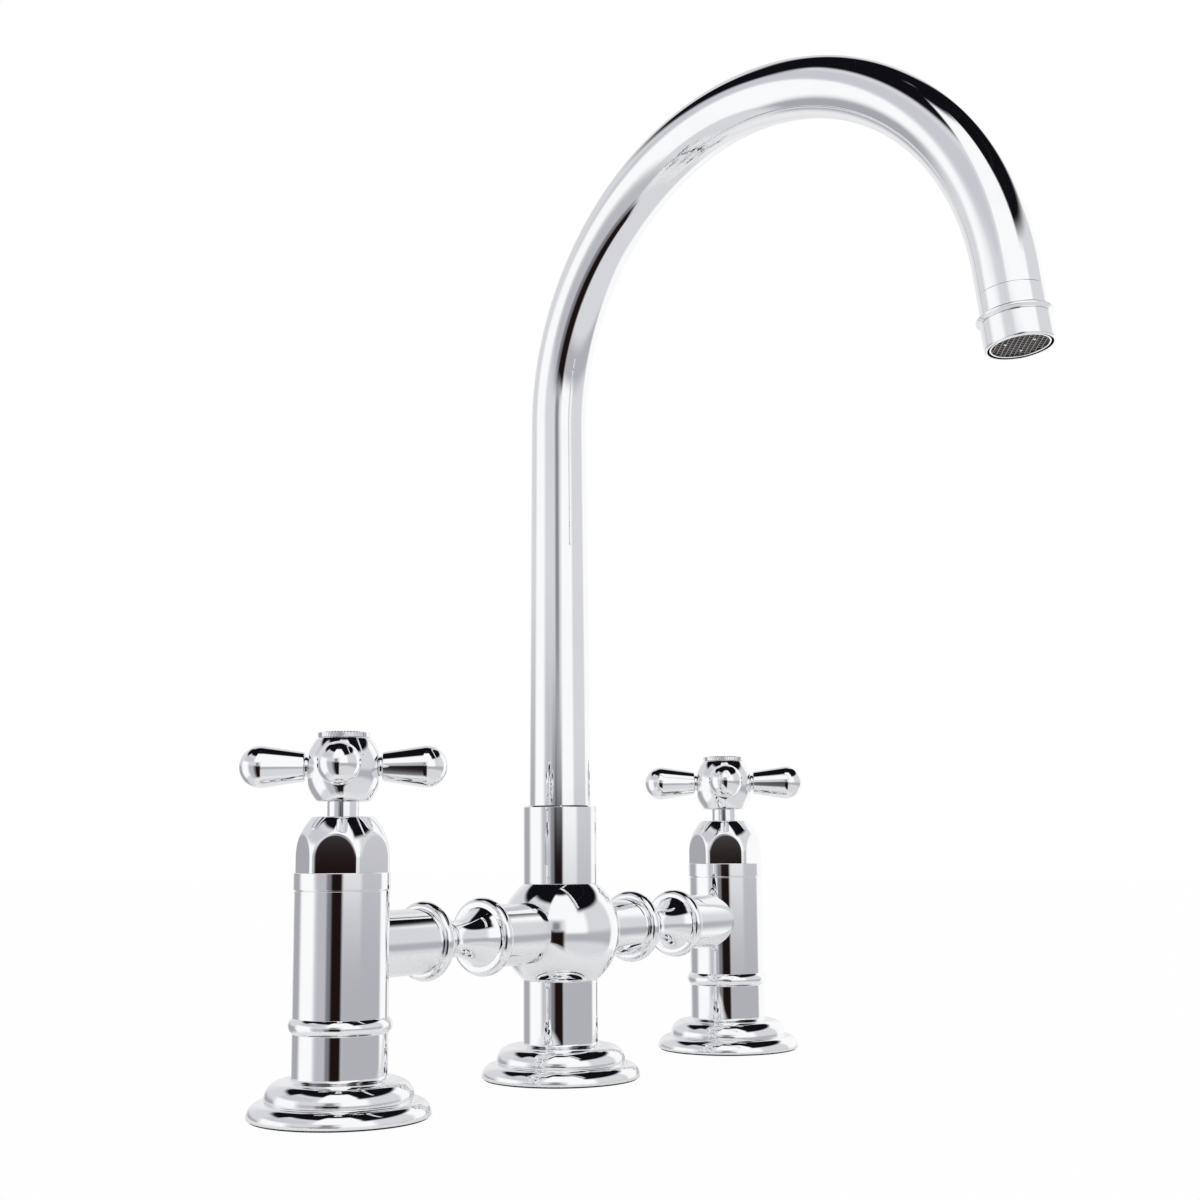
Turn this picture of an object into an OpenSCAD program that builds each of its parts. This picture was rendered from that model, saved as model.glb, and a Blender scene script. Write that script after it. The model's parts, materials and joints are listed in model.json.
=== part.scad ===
// Three-leg bridge kitchen faucet with cross handles and a swan-neck swivel spout
// X runs along the bridge, the user stands on the -Y side, Z = 0 is the top of the deck

/* [Legs] */
// Distance between the hot and cold pillars, centre to centre
leg_span = 203.2; // [190:0.1:230]
// Thickness of deck held between the gaskets and the washers
deck_gap = 30; // [12:1:40]
// Radius of the parallel pipe thread on each inlet shank
shank_r = 10.478; // [10.478]
// Length of each inlet shank below the deck
shank_drop = 58; // [56:1:80]
// Water bore of an inlet shank
shank_bore_d = 12; // [8:0.5:14]
// Diameter of the stud under the centre leg
stud_d = 10; // [8:0.5:12]
// Height of a lock nut
nut_h = 8; // [5:0.5:10]
// Thickness of a metal washer
washer_t = 2.5; // [1.5:0.1:4]
// Outer diameter of a metal washer
washer_d = 40; // [36:0.5:48]
// Width across the flats of an inlet lock nut
nut_w = 30; // [27:0.5:34]
// Width across the flats of the stud nut
stud_nut_w = 17; // [16:0.5:22]

/* [Flanges] */
// Diameter of a flange at its rim
flange_d = 52; // [50:0.5:60]
// Height of a flange
flange_h = 10.8; // [10.4:0.1:13]
// Diameter of the upper step of a flange
flange_step_d = 42.4; // [40:0.2:43]
// Rounding of the lower step
low_round = 4.1; // [3:0.1:4.3]
// Rounding of the upper step
up_round = 5; // [3:0.1:5.2]
// Upright edge at the rim
rim_edge = 0.5; // [0.3:0.1:0.8]
// Thickness of the gasket's lip under the rim
gasket_lip = 0.5; // [0.3:0.1:1]
// Thickness of the gasket inside the flange
gasket_t = 2; // [1.5:0.1:3]

/* [Valve pillars] */
// Diameter of a pillar
body_d = 27.3; // [26:0.1:29]
// Height of a pillar from the flange to the seam under the bonnet
body_h = 52.9; // [50:0.1:60]
// Diameter over the bead
bead_d = 29.6; // [28.5:0.1:32]
// Height of the bead's middle above the flange
bead_rise = 15; // [8:0.1:18]
// Height of the bead along the pillar
bead_h = 4.4; // [3:0.1:6]
// Cove at the foot of a pillar
foot_cove = 1.2; // [0.6:0.1:1.5]
// Height of the valve seat above the deck
seat_z = 36; // [32:0.5:37]
// Radius of the chamber that takes the cartridge
chamber_r = 9.95; // [9.5:0.05:10.2]
// Length of the shank's thread inside a pillar
shank_grip = 12; // [8:0.5:14]

/* [Bonnets] */
// Diameter of the plain band
band_d = 27.8; // [27.4:0.1:29]
// Height of the plain band
band_h = 4.9; // [3:0.1:7]
// Height of a bonnet over its band and dome
bonnet_h = 20.9; // [19:0.1:22.5]
// Width across the six flats
flats_w = 24.2; // [23.4:0.1:25]
// Diameter of the dome where it stands on the band
dome_d = 27.2; // [26.6:0.1:27.4]
// Height of the dome's upright part under its curve
dome_rise = 4.2; // [3:0.1:5.2]
// Radius of the dome's side curve
dome_side_r = 17; // [15.6:0.1:24]
// Rounding of the dome's top edge
dome_round = 0.8; // [0.4:0.1:1.6]
// Way one flat faces, as a turn about the pillar
bonnet_turn = 35; // [0:1:59]
// Radius of the space inside a bonnet
bonnet_room_r = 10.8; // [10.5:0.05:10.9]

/* [Cartridges] */
// Diameter of the spindle
spindle_d = 8; // [7:0.1:8.2]
// Diameter of the cartridge's neck
neck_d = 13; // [12:0.1:14]
// Diameter of the ceramic discs
disc_d = 15.6; // [14:0.1:16]
// Thickness of a ceramic disc
disc_t = 2.6; // [2:0.1:3]
// Thickness of the rubber seat
seat_t = 2; // [1.5:0.1:2.5]
// Wrench size of the cartridge
cartridge_w = 17; // [16:0.5:18]
// Number of teeth on the spindle's spline
spline_teeth = 20; // [12:1:24]

/* [Handles] */
// Diameter of the plain stem between bonnet and hub
stem_d = 9.2; // [9:0.1:10.5]
// Length of stem in view
stem_show = 4.3; // [3:0.1:7]
// Height of a hub
hub_h = 18.5; // [18:0.1:20]
// Diameter of a hub at its widest, half way up
hub_d = 22.1; // [21.4:0.1:23.4]
// Radius of a hub's bulging side
hub_side_r = 14; // [12.5:0.1:18]
// Width across a hub's four flats
hub_flats_w = 20.4; // [19.4:0.1:21]
// Height of the arms above a hub's underside
arm_rise = 10.1; // [9:0.05:10.5]
// Distance from a hub's axis to an arm's tip
arm_reach = 30; // [27:0.1:38]
// Diameter of an arm's round end
arm_tip_d = 12.2; // [10.5:0.1:13]
// Diameter of an arm where it starts
arm_root_d = 8.4; // [7.6:0.1:9]
// Diameter of the short neck between hub and arm
arm_neck_d = 6; // [5.4:0.1:6.8]
// Length of the short neck between hub and arm
arm_neck = 1; // [0.8:0.1:2]
// Diameter of the knurled button
button_d = 15.2; // [13:0.1:15.6]
// Height of the knurled button
button_h = 1.6; // [1.2:0.1:3]
// Number of knurls on the button
knurls = 48; // [24:1:60]
// Way the hot handle's arms point when closed
hot_turn = 42; // [0:1:89]
// Way the cold handle's arms point when closed
cold_turn = 34.5; // [0:0.5:89]

/* [Bridge] */
// Height of the bridge above the deck
bridge_z = 47.5; // [46:0.1:52]
// Diameter of the bridge tubes
tube_d = 19.6; // [18:0.1:20.5]
// Diameter of the ring nearest a pillar
outer_ring_d = 24; // [22:0.1:27]
// Diameter of the ring nearest the ball
inner_ring_d = 24.6; // [22:0.1:27]
// Width of a ring
ring_w = 4; // [3:0.1:5]
// Distance from a pillar's axis to the outer ring
outer_ring_x = 34.7; // [24:0.1:38]
// Distance from a pillar's axis to the inner ring
inner_ring_x = 61.8; // [54:0.1:68]
// Diameter of the waist between the rings
waist_d = 11.2; // [10.6:0.1:14]
// Diameter of the waist where it meets the rings
flare_d = 18.6; // [17:0.1:19]
// Water bore of a bridge arm
arm_bore_d = 8; // [6:0.1:8.4]
// Diameter of the plugs at an arm's ends
plug_d = 14; // [13:0.1:15]
// Diameter of the ball
ball_d = 39.8; // [38:0.1:44]
// Diameter of the column under the ball
column_d = 24.8; // [24:0.1:27]

/* [Spout] */
// Diameter of the collar above the ball
collar_d = 24.5; // [24.3:0.1:27]
// Height of the collar
collar_h = 25.8; // [24.5:0.1:32]
// Diameter of the spout's tube in the bend
spout_d = 18.6; // [18.2:0.1:19.4]
// Diameter of the spout's tube in the collar
spout_base_d = 20.4; // [19.4:0.1:20.5]
// Wall of the spout's tube
spout_wall = 1.2; // [0.8:0.1:1.3]
// Straight tube between the collar and the bend
riser = 129.7; // [60:0.1:220]
// Radius of the bend along the tube's middle
bend_r = 90.5; // [60:0.5:130]
// Angle that the bend turns through
bend_angle = 171.7; // [150:0.1:180]
// Straight tube after the bend
tail = 7.2; // [6:0.1:30]
// Turn of the spout about its column at rest
spout_turn = -8.7; // [-60:0.1:60]
// Radius of the socket that the spout turns in
socket_r = 8; // [7.6:0.1:8.2]

/* [Outlet] */
// Length of the outlet sleeve in view
sleeve_h = 8; // [7:0.1:12]
// Diameter of the sleeve's ring
lip_d = 21.4; // [20.6:0.1:23]
// Width of the sleeve's ring
lip_w = 1.9; // [1.2:0.1:3]
// Diameter of the aerator's housing
housing_d = 19.5; // [19.2:0.1:20]
// Height of the aerator's housing in view
housing_h = 7.7; // [6:0.1:10]
// Radius of the mesh
mesh_r = 7.8; // [7:0.1:7.8]

/* [Fits] */
// Clearance between fixed pieces that slide together
fit = 0.05; // [0.03:0.01:0.08]
// Radial clearance of a running fit
run = 0.08; // [0.04:0.01:0.1]
// Clearance between pieces that pass each other
clear = 0.3; // [0.25:0.05:0.4]
// Thickness of a rubber ring
o_ring_t = 1.8; // [1.6:0.1:1.9]

/* [Hidden] */
$fn = 72;

// The two valve legs: the sign is the side of the centre that each stands on
hot = -1;
cold = 1;
half_span = leg_span / 2;

// Radii of the outside forms
body_r = body_d / 2;
band_r = band_d / 2;
column_r = column_d / 2;
ball_r = ball_d / 2;
collar_r = collar_d / 2;
tube_r = tube_d / 2;
plug_r = plug_d / 2;
spout_r = spout_d / 2;
spout_base_r = spout_base_d / 2;
spout_bore_r = spout_r - spout_wall;
spindle_r = spindle_d / 2;
neck_r = neck_d / 2;
disc_r = disc_d / 2;
stem_r = stem_d / 2;

// Heights of the valve legs, from the deck up
shoulder_t = 1.6;
seam_z = flange_h + body_h;
flats_z = seam_z + band_h;
bonnet_z = seam_z + bonnet_h;
hub_z = bonnet_z + stem_show;
arm_z = hub_z + arm_rise;
hub_top_z = hub_z + hub_h;

// Spigot of a leg inside its flange, and the flange's hollow underside
leg_spigot = 2;
spigot_step = 0.8;
flange_web = 3;
flange_wall = 2.6;
gasket_inset = 3;

// Cartridge levels
fixed_disc_z = seat_z + seat_t;
moving_disc_z = fixed_disc_z + disc_t + fit;
drive_z = moving_disc_z + disc_t;
drive_h = 3;
window_z = drive_z - 0.5;
window_h = 8;
window_w = 9;
cage_top_z = window_z + window_h + 1.2;
cage_wall = 1.2;
cage_r = disc_r + fit + cage_wall;
neck_top_z = bonnet_z - 5.6;
spindle_top_z = hub_top_z - 6.8;
hub_web = 2.2;
arm_tenon = 3.8;
spindle_seal_z = seam_z + band_h / 2;

// Levels of the ball, the collar and the parts that the spout turns on, to a hundredth
ball_cut = round(100 * sqrt(pow(ball_r, 2) - pow(collar_r, 2))) / 100;
column_cut = round(100 * sqrt(pow(ball_r, 2) - pow(column_r, 2))) / 100;
ball_top_z = bridge_z + ball_cut;
column_top_z = bridge_z - column_cut;
collar_top_z = ball_top_z + collar_h;
collar_lip = 0.8;
thread_r = collar_r - 1.2;
ball_neck_h = 9.8;
socket_top_z = ball_top_z + ball_neck_h;
socket_floor_z = bridge_z - 7;
glide_t = 1.5;
spigot_rim_z = socket_top_z + glide_t + run;
spigot_rim_h = 3;
spigot_nose_h = 10;
spigot_reach = 7.8;
spigot_low_z = ball_top_z - spigot_reach;
tube_start_z = spigot_rim_z + spigot_rim_h;
bush_z = tube_start_z + clear;
bush_top_z = collar_top_z - collar_lip;
bend_z = collar_top_z + riser;

// Hair by which the tube's tail stands off the bend's faces, its lap into the bend and the slope there
weld = 0.02;
weld_lap = 0.5;
weld_slope = 0.3;

// Outlet levels, measured along the tube's middle from the end of the bend
lip_s = tail + sleeve_h;
outlet_s = lip_s + housing_h;
outlet_thread_r = spout_bore_r + 0.2;
washer_s = tail + 1.6;
rubber_t = 1.2;
housing_wall = 0.8;
housing_bore_r = housing_d / 2 - housing_wall;
insert_r = mesh_r + 0.55;
mesh_t = 0.5;
mesh_inset = 0.6;

chrome = [0.80, 0.82, 0.85];
brass = [0.80, 0.65, 0.32];
rubber = [0.12, 0.12, 0.12];
ceramic = [0.92, 0.92, 0.90];
plastic = [0.90, 0.90, 0.92];

// Carries a piece drawn about a leg's axis to that leg, with +X towards the centre
module at_leg(side) {
    translate([side * half_span, 0, 0])
        rotate([0, 0, side > 0 ? 180 : 0])
            children();
}

// Turns a piece with its handle's position at rest
module at_handle(side) {
    translate([side * half_span, 0, 0])
        rotate([0, 0, side > 0 ? cold_turn : hot_turn])
            children();
}

// Swings a piece with the spout's position at rest
module at_spout() {
    rotate([0, 0, spout_turn])
        children();
}

// Places a piece drawn along +Z at the end of the bend, pointing out of the outlet
module at_outlet() {
    at_spout()
        translate([0, bend_r * (cos(bend_angle) - 1), bend_z + bend_r * sin(bend_angle)])
            rotate([bend_angle, 0, 0])
                children();
}

// Quarter of a disc
module quarter(r) {
    intersection() {
        circle(r);
        square(r);
    }
}

// Corner fillet that fills the angle between two edges
module cove(r) {
    difference() {
        square(r);
        translate([r, r])
            circle(r);
    }
}

// Flat ring from one level up to another
module ring(inner, outer, low, high) {
    translate([0, 0, low])
        difference() {
            cylinder(r = outer, h = high - low);
            translate([0, 0, -1])
                cylinder(r = inner, h = high - low + 2);
        }
}

// Rubber ring with a round section, seated in a groove
module o_ring(inner, z) {
    translate([0, 0, z])
        rotate_extrude()
            translate([inner + o_ring_t / 2, 0])
                circle(o_ring_t / 2, $fn = 24);
}

// Groove for a rubber ring, cut from the outside
module groove(floor_r, outer, z) {
    ring(floor_r, outer, z - o_ring_t / 2 - fit, z + o_ring_t / 2 + fit);
}

// Two convex steps that a flange shows, as a profile
module flange_outline() {
    low_z = gasket_lip + rim_edge;
    translate([0, gasket_lip])
        square([flange_d / 2, rim_edge]);
    translate([0, gasket_lip])
        square([flange_d / 2 - low_round, rim_edge + low_round]);
    translate([flange_d / 2 - low_round, low_z])
        quarter(low_round);
    translate([0, low_z])
        square([flange_step_d / 2, flange_h - up_round - low_z]);
    translate([0, low_z])
        square([flange_step_d / 2 - up_round, flange_h - low_z]);
    translate([flange_step_d / 2 - up_round, flange_h - up_round])
        quarter(up_round);
}

// Flange with a hollow underside, bored for the spigot of its leg
module flange(spigot_r) {
    color(chrome)
        rotate_extrude()
            difference() {
                flange_outline();
                square([flange_d / 2 - gasket_inset, gasket_t]);
                square([flange_step_d / 2 - flange_wall, flange_h - flange_web]);
                square([spigot_r + fit, flange_h + 1]);
            }
}

// Gasket that lines the flange's rim and seals it to the deck
module gasket() {
    color(rubber) {
        rotate_extrude()
            difference() {
                union() {
                    square([flange_d / 2 - 0.6, gasket_lip]);
                    square([flange_d / 2 - gasket_inset - fit, gasket_t]);
                }
                translate([0, -1])
                    square([shank_r + 2, gasket_t + 2]);
            }
    }
}

// Turned outline of a valve pillar with its cove, bead and spigot
module pillar_outline() {
    bead_r = (pow(bead_h / 2, 2) + pow(bead_d / 2 - body_r, 2)) / (bead_d - body_d);
    translate([0, flange_h])
        square([body_r, body_h]);
    translate([0, flange_h - leg_spigot])
        square([body_r - spigot_step, leg_spigot]);
    translate([body_r, flange_h])
        cove(foot_cove);
    intersection() {
        translate([bead_d / 2 - bead_r, flange_h + bead_rise])
            circle(bead_r);
        translate([0, flange_h + bead_rise - bead_h / 2])
            square([bead_d, bead_h]);
    }
}

// Pillar with its inlet thread, valve seat, cartridge chamber and side socket
module valve_body(side) {
    color(chrome)
        at_leg(side)
            difference() {
                rotate_extrude()
                    pillar_outline();
                translate([0, 0, flange_h - leg_spigot - 1])
                    cylinder(r = shank_r + fit, h = shank_grip + 1);
                translate([0, 0, flange_h])
                    cylinder(r = shank_bore_d / 2, h = seat_z - flange_h + 1);
                translate([0, 0, seat_z])
                    cylinder(r = chamber_r, h = seam_z - seat_z + 1);
                translate([0, 0, bridge_z])
                    rotate([0, 90, 0])
                        cylinder(r = plug_r + fit, h = body_r + 2);
            }
}

// Threaded inlet tube; a relief sets the supply nut's thread apart from the lock nut's
module shank(side) {
    relief_z = -deck_gap - washer_t - nut_h - 3.5;
    color(brass)
        at_leg(side)
            difference() {
                ring(shank_bore_d / 2, shank_r, -shank_drop, flange_h - leg_spigot + shank_grip - 0.5);
                ring(shank_r - 0.9, shank_r + 1, relief_z, relief_z + 1.5);
            }
}

// Metal washer against the underside of the deck
module leg_washer(hole_r) {
    color([0.65, 0.66, 0.68])
        ring(hole_r + clear, washer_d / 2, -deck_gap - washer_t, -deck_gap);
}

// Six-sided nut that pulls a leg down
module lock_nut(hole_r, width) {
    color(brass)
        translate([0, 0, -deck_gap - washer_t - nut_h])
            difference() {
                cylinder(r = width / sqrt(3), h = nut_h, $fn = 6);
                translate([0, 0, -1])
                    cylinder(r = hole_r + fit, h = nut_h + 2);
            }
}

// Dome over a plain band, as a profile
module bonnet_outline() {
    side_x = dome_d / 2 - dome_side_r;
    side_z = flats_z + dome_rise;
    round_z = bonnet_z - dome_round;
    round_x = side_x + sqrt(pow(dome_side_r - dome_round, 2) - pow(round_z - side_z, 2));
    translate([0, seam_z])
        square([band_r, band_h]);
    translate([0, flats_z])
        square([dome_d / 2, dome_rise]);
    intersection() {
        translate([side_x, side_z])
            circle(dome_side_r, $fn = 180);
        translate([0, side_z])
            square([band_r, round_z - side_z]);
    }
    translate([0, round_z])
        square([round_x, dome_round]);
    translate([round_x, round_z])
        quarter(dome_round);
}

// Bonnet: a dome with six arch-topped wrench flats over a plain band
module bonnet(side) {
    color(chrome)
        translate([side * half_span, 0, 0])
            rotate([0, 0, bonnet_turn])
                difference() {
                    rotate_extrude()
                        bonnet_outline();
                    for (i = [0 : 5])
                        rotate([0, 0, 60 * i])
                            translate([flats_w / 2, -band_r, flats_z])
                                cube([band_r, 2 * band_r, bonnet_h]);
                    translate([0, 0, seam_z - 1])
                        cylinder(r = bonnet_room_r, h = neck_top_z - seam_z - 2);
                    translate([0, 0, seam_z])
                        cylinder(r = neck_r + fit, h = neck_top_z - seam_z + 0.5);
                    translate([0, 0, seam_z])
                        cylinder(r = stem_r + clear, h = bonnet_h + 1);
                }
}

// Brass headwork: cage for the discs, thread, shoulder, hexagon and neck
module cartridge(side) {
    color(brass)
        at_leg(side)
            difference() {
                union() {
                    translate([0, 0, seat_z + clear])
                        cylinder(r = cage_r, h = seam_z - seat_z);
                    translate([0, 0, cage_top_z])
                        cylinder(r = chamber_r - fit, h = seam_z - cage_top_z);
                    translate([0, 0, seam_z])
                        cylinder(r = bonnet_room_r - clear, h = shoulder_t);
                    translate([0, 0, seam_z])
                        cylinder(r = cartridge_w / sqrt(3), h = band_h, $fn = 6);
                    translate([0, 0, seam_z])
                        cylinder(r = neck_r, h = neck_top_z - seam_z);
                }
                translate([0, 0, seat_z])
                    cylinder(r = disc_r + fit, h = cage_top_z - seat_z);
                translate([0, 0, seat_z])
                    cylinder(r = spindle_r + run, h = bonnet_h + body_h);
                groove(0, spindle_r + run + o_ring_t, spindle_seal_z);
                translate([-cage_r - 1, -window_w / 2, window_z])
                    cube([2 * cage_r + 2, window_w, window_h]);
            }
}

// Toothed section that keys a hub to its spindle
module spline(outer, root) {
    polygon([for (i = [0 : 2 * spline_teeth - 1])
        (i % 2 == 0 ? outer : root) * [cos(180 * i / spline_teeth), sin(180 * i / spline_teeth)]]);
}

// Spindle: tongue and driver at the foot, plain shaft, spline and screw hole at the top
module spindle(side) {
    color(brass)
        at_handle(side)
            difference() {
                union() {
                    translate([-disc_r * 0.6, -1.5, drive_z - 1.2])
                        cube([disc_r * 1.2, 3, 1.4]);
                    translate([0, 0, drive_z])
                        cylinder(r = disc_r - 1, h = drive_h);
                    translate([0, 0, drive_z])
                        cylinder(r = spindle_r, h = hub_z - drive_z);
                    translate([0, 0, hub_z])
                        linear_extrude(spindle_top_z - hub_z)
                            spline(spindle_r - 0.1, spindle_r - 0.7);
                }
                translate([0, 0, arm_z - 4])
                    cylinder(r = 1.7, h = hub_h);
            }
}

// Ceramic disc with two facing ports; the turning one is slotted for the spindle's tongue
module ceramic_disc(z, slotted) {
    port = disc_r - 1.6;
    color(ceramic)
        translate([0, 0, z])
            difference() {
                cylinder(r = disc_r - (slotted ? clear : 0), h = disc_t);
                for (turn = [0, 180])
                    rotate([0, 0, turn])
                        translate([0, 0, -1])
                            intersection() {
                                cylinder(r = port, h = disc_t + 2);
                                translate([-port * 0.6, 2.4, 0])
                                    cube([port * 1.2, port, disc_t + 2]);
                            }
                if (slotted)
                    translate([-disc_r * 0.6 - fit, -1.5 - fit, disc_t - 1.2 - fit])
                        cube([disc_r * 1.2 + 2 * fit, 3 + 2 * fit, 2]);
            }
}

// Disc that turns with the spindle
module moving_disc(side) {
    at_handle(side)
        ceramic_disc(moving_disc_z, true);
}

// Disc held still in the cage, closed against the turning one
module fixed_disc(side) {
    at_handle(side)
        rotate([0, 0, 90])
            ceramic_disc(fixed_disc_z, false);
}

// Rubber seat pressed between the fixed disc and the pillar
module seat_seal(side) {
    color(rubber)
        at_leg(side)
            ring(shank_bore_d / 2 - 0.4, disc_r, seat_z, fixed_disc_z);
}

// Rubber ring round the spindle
module spindle_seal(side) {
    color(rubber)
        at_leg(side)
            o_ring(spindle_r + run / 2, spindle_seal_z);
}

// Chromed sleeve that shows as the stem
module stem_sleeve(side) {
    color(chrome)
        at_handle(side)
            ring(spindle_r + fit, stem_r, neck_top_z + 1.5, hub_z);
}

// Hub: a bulging body with flat ends and four flats for the arms, bored for spindle, screw and arms
module handle_hub(side) {
    color(chrome)
        at_handle(side)
            difference() {
                intersection() {
                    rotate_extrude()
                        intersection() {
                            translate([hub_d / 2 - hub_side_r, hub_z + hub_h / 2])
                                circle(hub_side_r, $fn = 144);
                            translate([0, hub_z])
                                square([hub_d, hub_h]);
                        }
                    translate([-hub_flats_w / 2, -hub_flats_w / 2, hub_z])
                        cube([hub_flats_w, hub_flats_w, hub_h]);
                }
                translate([0, 0, hub_z - 1])
                    cylinder(r = spindle_r, h = spindle_top_z - hub_z + 1 + fit);
                cylinder(r = 2.1, h = hub_top_z + 1);
                translate([0, 0, spindle_top_z + hub_web])
                    cylinder(r = 4.2, h = hub_h);
                for (i = [0 : 3])
                    rotate([0, 0, 90 * i])
                        translate([hub_flats_w / 2 - arm_tenon - 0.2, 0, arm_z])
                            rotate([0, 90, 0])
                                cylinder(r = arm_neck_d / 2 - 0.6 + fit, h = 6);
            }
}

// Outline of one arm along its axis: tenon, neck, taper and round end
module arm_outline() {
    start = hub_flats_w / 2;
    taper = start + arm_neck;
    tip_r = arm_tip_d / 2;
    tip = arm_reach - tip_r;
    slope = asin((tip_r - arm_root_d / 2) / (tip - taper));
    translate([0, start - arm_tenon])
        square([arm_neck_d / 2 - 0.6, arm_tenon + 0.2]);
    translate([0, start])
        square([arm_neck_d / 2, arm_neck]);
    polygon([
        [0, taper], [arm_root_d / 2, taper],
        [tip_r * cos(slope), tip - tip_r * sin(slope)], [0, tip]
    ]);
    translate([0, tip])
        intersection() {
            circle(tip_r);
            translate([0, -tip_r * sin(slope)])
                square(2 * tip_r);
        }
}

// Four club-shaped arms
module handle_arms(side) {
    color(chrome)
        at_handle(side)
            for (i = [0 : 3])
                rotate([0, 0, 90 * i])
                    translate([0, 0, arm_z])
                        rotate([0, 90, 0])
                            rotate_extrude()
                                arm_outline();
}

// Screw that holds the hub down on the spindle
module handle_screw(side) {
    head_z = spindle_top_z + hub_web;
    color(brass)
        at_handle(side)
            difference() {
                union() {
                    translate([0, 0, head_z])
                        cylinder(r = 3.5, h = 2.4);
                    translate([0, 0, arm_z - 2])
                        cylinder(r = 1.6, h = head_z - arm_z + 3);
                }
                translate([0, 0, head_z + 1])
                    cylinder(r = 1.5, h = 3, $fn = 6);
            }
}

// Plain button with a knurled edge, pushed into the hub's top
module button(side) {
    knurl = button_d / 2 - 0.35;
    edge = [for (i = [0 : 2 * knurls - 1])
        (i % 2 == 0 ? button_d / 2 : knurl) * [cos(180 * i / knurls), sin(180 * i / knurls)]];
    color([0.88, 0.89, 0.91])
        at_handle(side) {
            translate([0, 0, hub_top_z])
                linear_extrude(button_h - 0.4)
                    polygon(edge);
            translate([0, 0, hub_top_z + button_h - 0.4])
                cylinder(r1 = knurl - 0.15, r2 = knurl - 0.5, h = 0.4);
            translate([0, 0, hub_top_z - 1.6])
                cylinder(r = 4.2 - fit, h = 1.7);
        }
}

// Half-round ring on a turned piece, as a profile
module ring_outline(d, at) {
    translate([0, at - ring_w / 2])
        square([(d - ring_w) / 2, ring_w]);
    translate([(d - ring_w) / 2, at])
        intersection() {
            circle(ring_w / 2);
            translate([0, -ring_w])
                square([ring_w, 2 * ring_w]);
        }
}

// Bridge arm along its axis: tube, ring, hollowed waist, ring, tube
module bridge_outline() {
    low = outer_ring_x + ring_w / 2;
    high = inner_ring_x - ring_w / 2;
    half = (high - low) / 2;
    depth = (flare_d - waist_d) / 2;
    hollow_r = (pow(half, 2) + pow(depth, 2)) / (2 * depth);
    square([tube_r, low]);
    ring_outline(outer_ring_d, outer_ring_x);
    difference() {
        translate([0, low])
            square([flare_d / 2, 2 * half]);
        translate([waist_d / 2 + hollow_r, low + half])
            circle(hollow_r);
    }
    ring_outline(inner_ring_d, inner_ring_x);
    translate([0, high])
        square([tube_r, half_span - high]);
}

// Places of the rubber rings on an arm's two plugs, from the pillar's axis
arm_seal_x = [(chamber_r + body_r) / 2, half_span - sqrt(pow(ball_r, 2) - pow(plug_r, 2)) + 2.6];
arm_plug_x = [chamber_r + 0.2, half_span - socket_r - 4];

// Turned bridge arm, shaped to sit against pillar and ball, with a plug at each end
module bridge_arm(side) {
    color(chrome)
        at_leg(side)
            translate([0, 0, bridge_z])
                difference() {
                    union() {
                        difference() {
                            rotate([0, 90, 0])
                                rotate_extrude()
                                    bridge_outline();
                            translate([0, 0, -tube_d])
                                cylinder(r = body_r + fit, h = 2 * tube_d);
                            translate([half_span, 0, 0])
                                sphere(ball_r + fit);
                        }
                        translate([arm_plug_x[0], 0, 0])
                            rotate([0, 90, 0])
                                cylinder(r = plug_r, h = arm_plug_x[1] - arm_plug_x[0]);
                    }
                    rotate([0, 90, 0])
                        cylinder(r = arm_bore_d / 2, h = half_span);
                    rotate([0, 90, 0]) {
                        groove(plug_r - o_ring_t, plug_r + 1, arm_seal_x[0]);
                        groove(plug_r - o_ring_t, plug_r + 1, arm_seal_x[1]);
                    }
                }
}

// Rubber rings on the two plugs of an arm
module arm_seals(side) {
    color(rubber)
        at_leg(side)
            translate([0, 0, bridge_z])
                rotate([0, 90, 0]) {
                    o_ring(plug_r - o_ring_t, arm_seal_x[0]);
                    o_ring(plug_r - o_ring_t, arm_seal_x[1]);
                }
}

// Ball that joins the two arms, the column and the spout
module bridge_ball() {
    color(chrome)
        difference() {
            union() {
                intersection() {
                    translate([0, 0, bridge_z])
                        sphere(ball_r);
                    translate([-ball_r, -ball_r, column_top_z])
                        cube([ball_d, ball_d, ball_top_z - column_top_z]);
                }
                translate([0, 0, bridge_z])
                    cylinder(r = thread_r - fit, h = socket_top_z - bridge_z);
            }
            translate([0, 0, socket_floor_z])
                cylinder(r = socket_r, h = socket_top_z - socket_floor_z + 1);
            translate([-ball_r - 1, 0, bridge_z])
                rotate([0, 90, 0])
                    cylinder(r = plug_r + fit, h = ball_d + 2);
            cylinder(r = stud_d / 2 + fit, h = socket_floor_z - 1.5);
            translate([0, 0, column_top_z - 1])
                cylinder(r = column_r - 3 + fit, h = 2.5);
        }
}

// Column under the ball, with a cove at its foot and a spigot at each end
module centre_column() {
    color(chrome)
        rotate_extrude()
            difference() {
                union() {
                    translate([0, flange_h])
                        square([column_r, column_top_z - flange_h]);
                    translate([column_r, flange_h])
                        cove(foot_cove);
                    translate([0, flange_h - leg_spigot])
                        square([column_r - spigot_step, leg_spigot + 1]);
                    translate([0, flange_h])
                        square([column_r - 3, column_top_z - flange_h + 1.4]);
                }
                square([stud_d / 2 + clear, bridge_z]);
            }
}

// Stud that ties ball, column and flange to the deck
module centre_stud() {
    color([0.70, 0.71, 0.73])
        translate([0, 0, -shank_drop])
            cylinder(r = stud_d / 2, h = shank_drop + socket_floor_z - 2);
}

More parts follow.
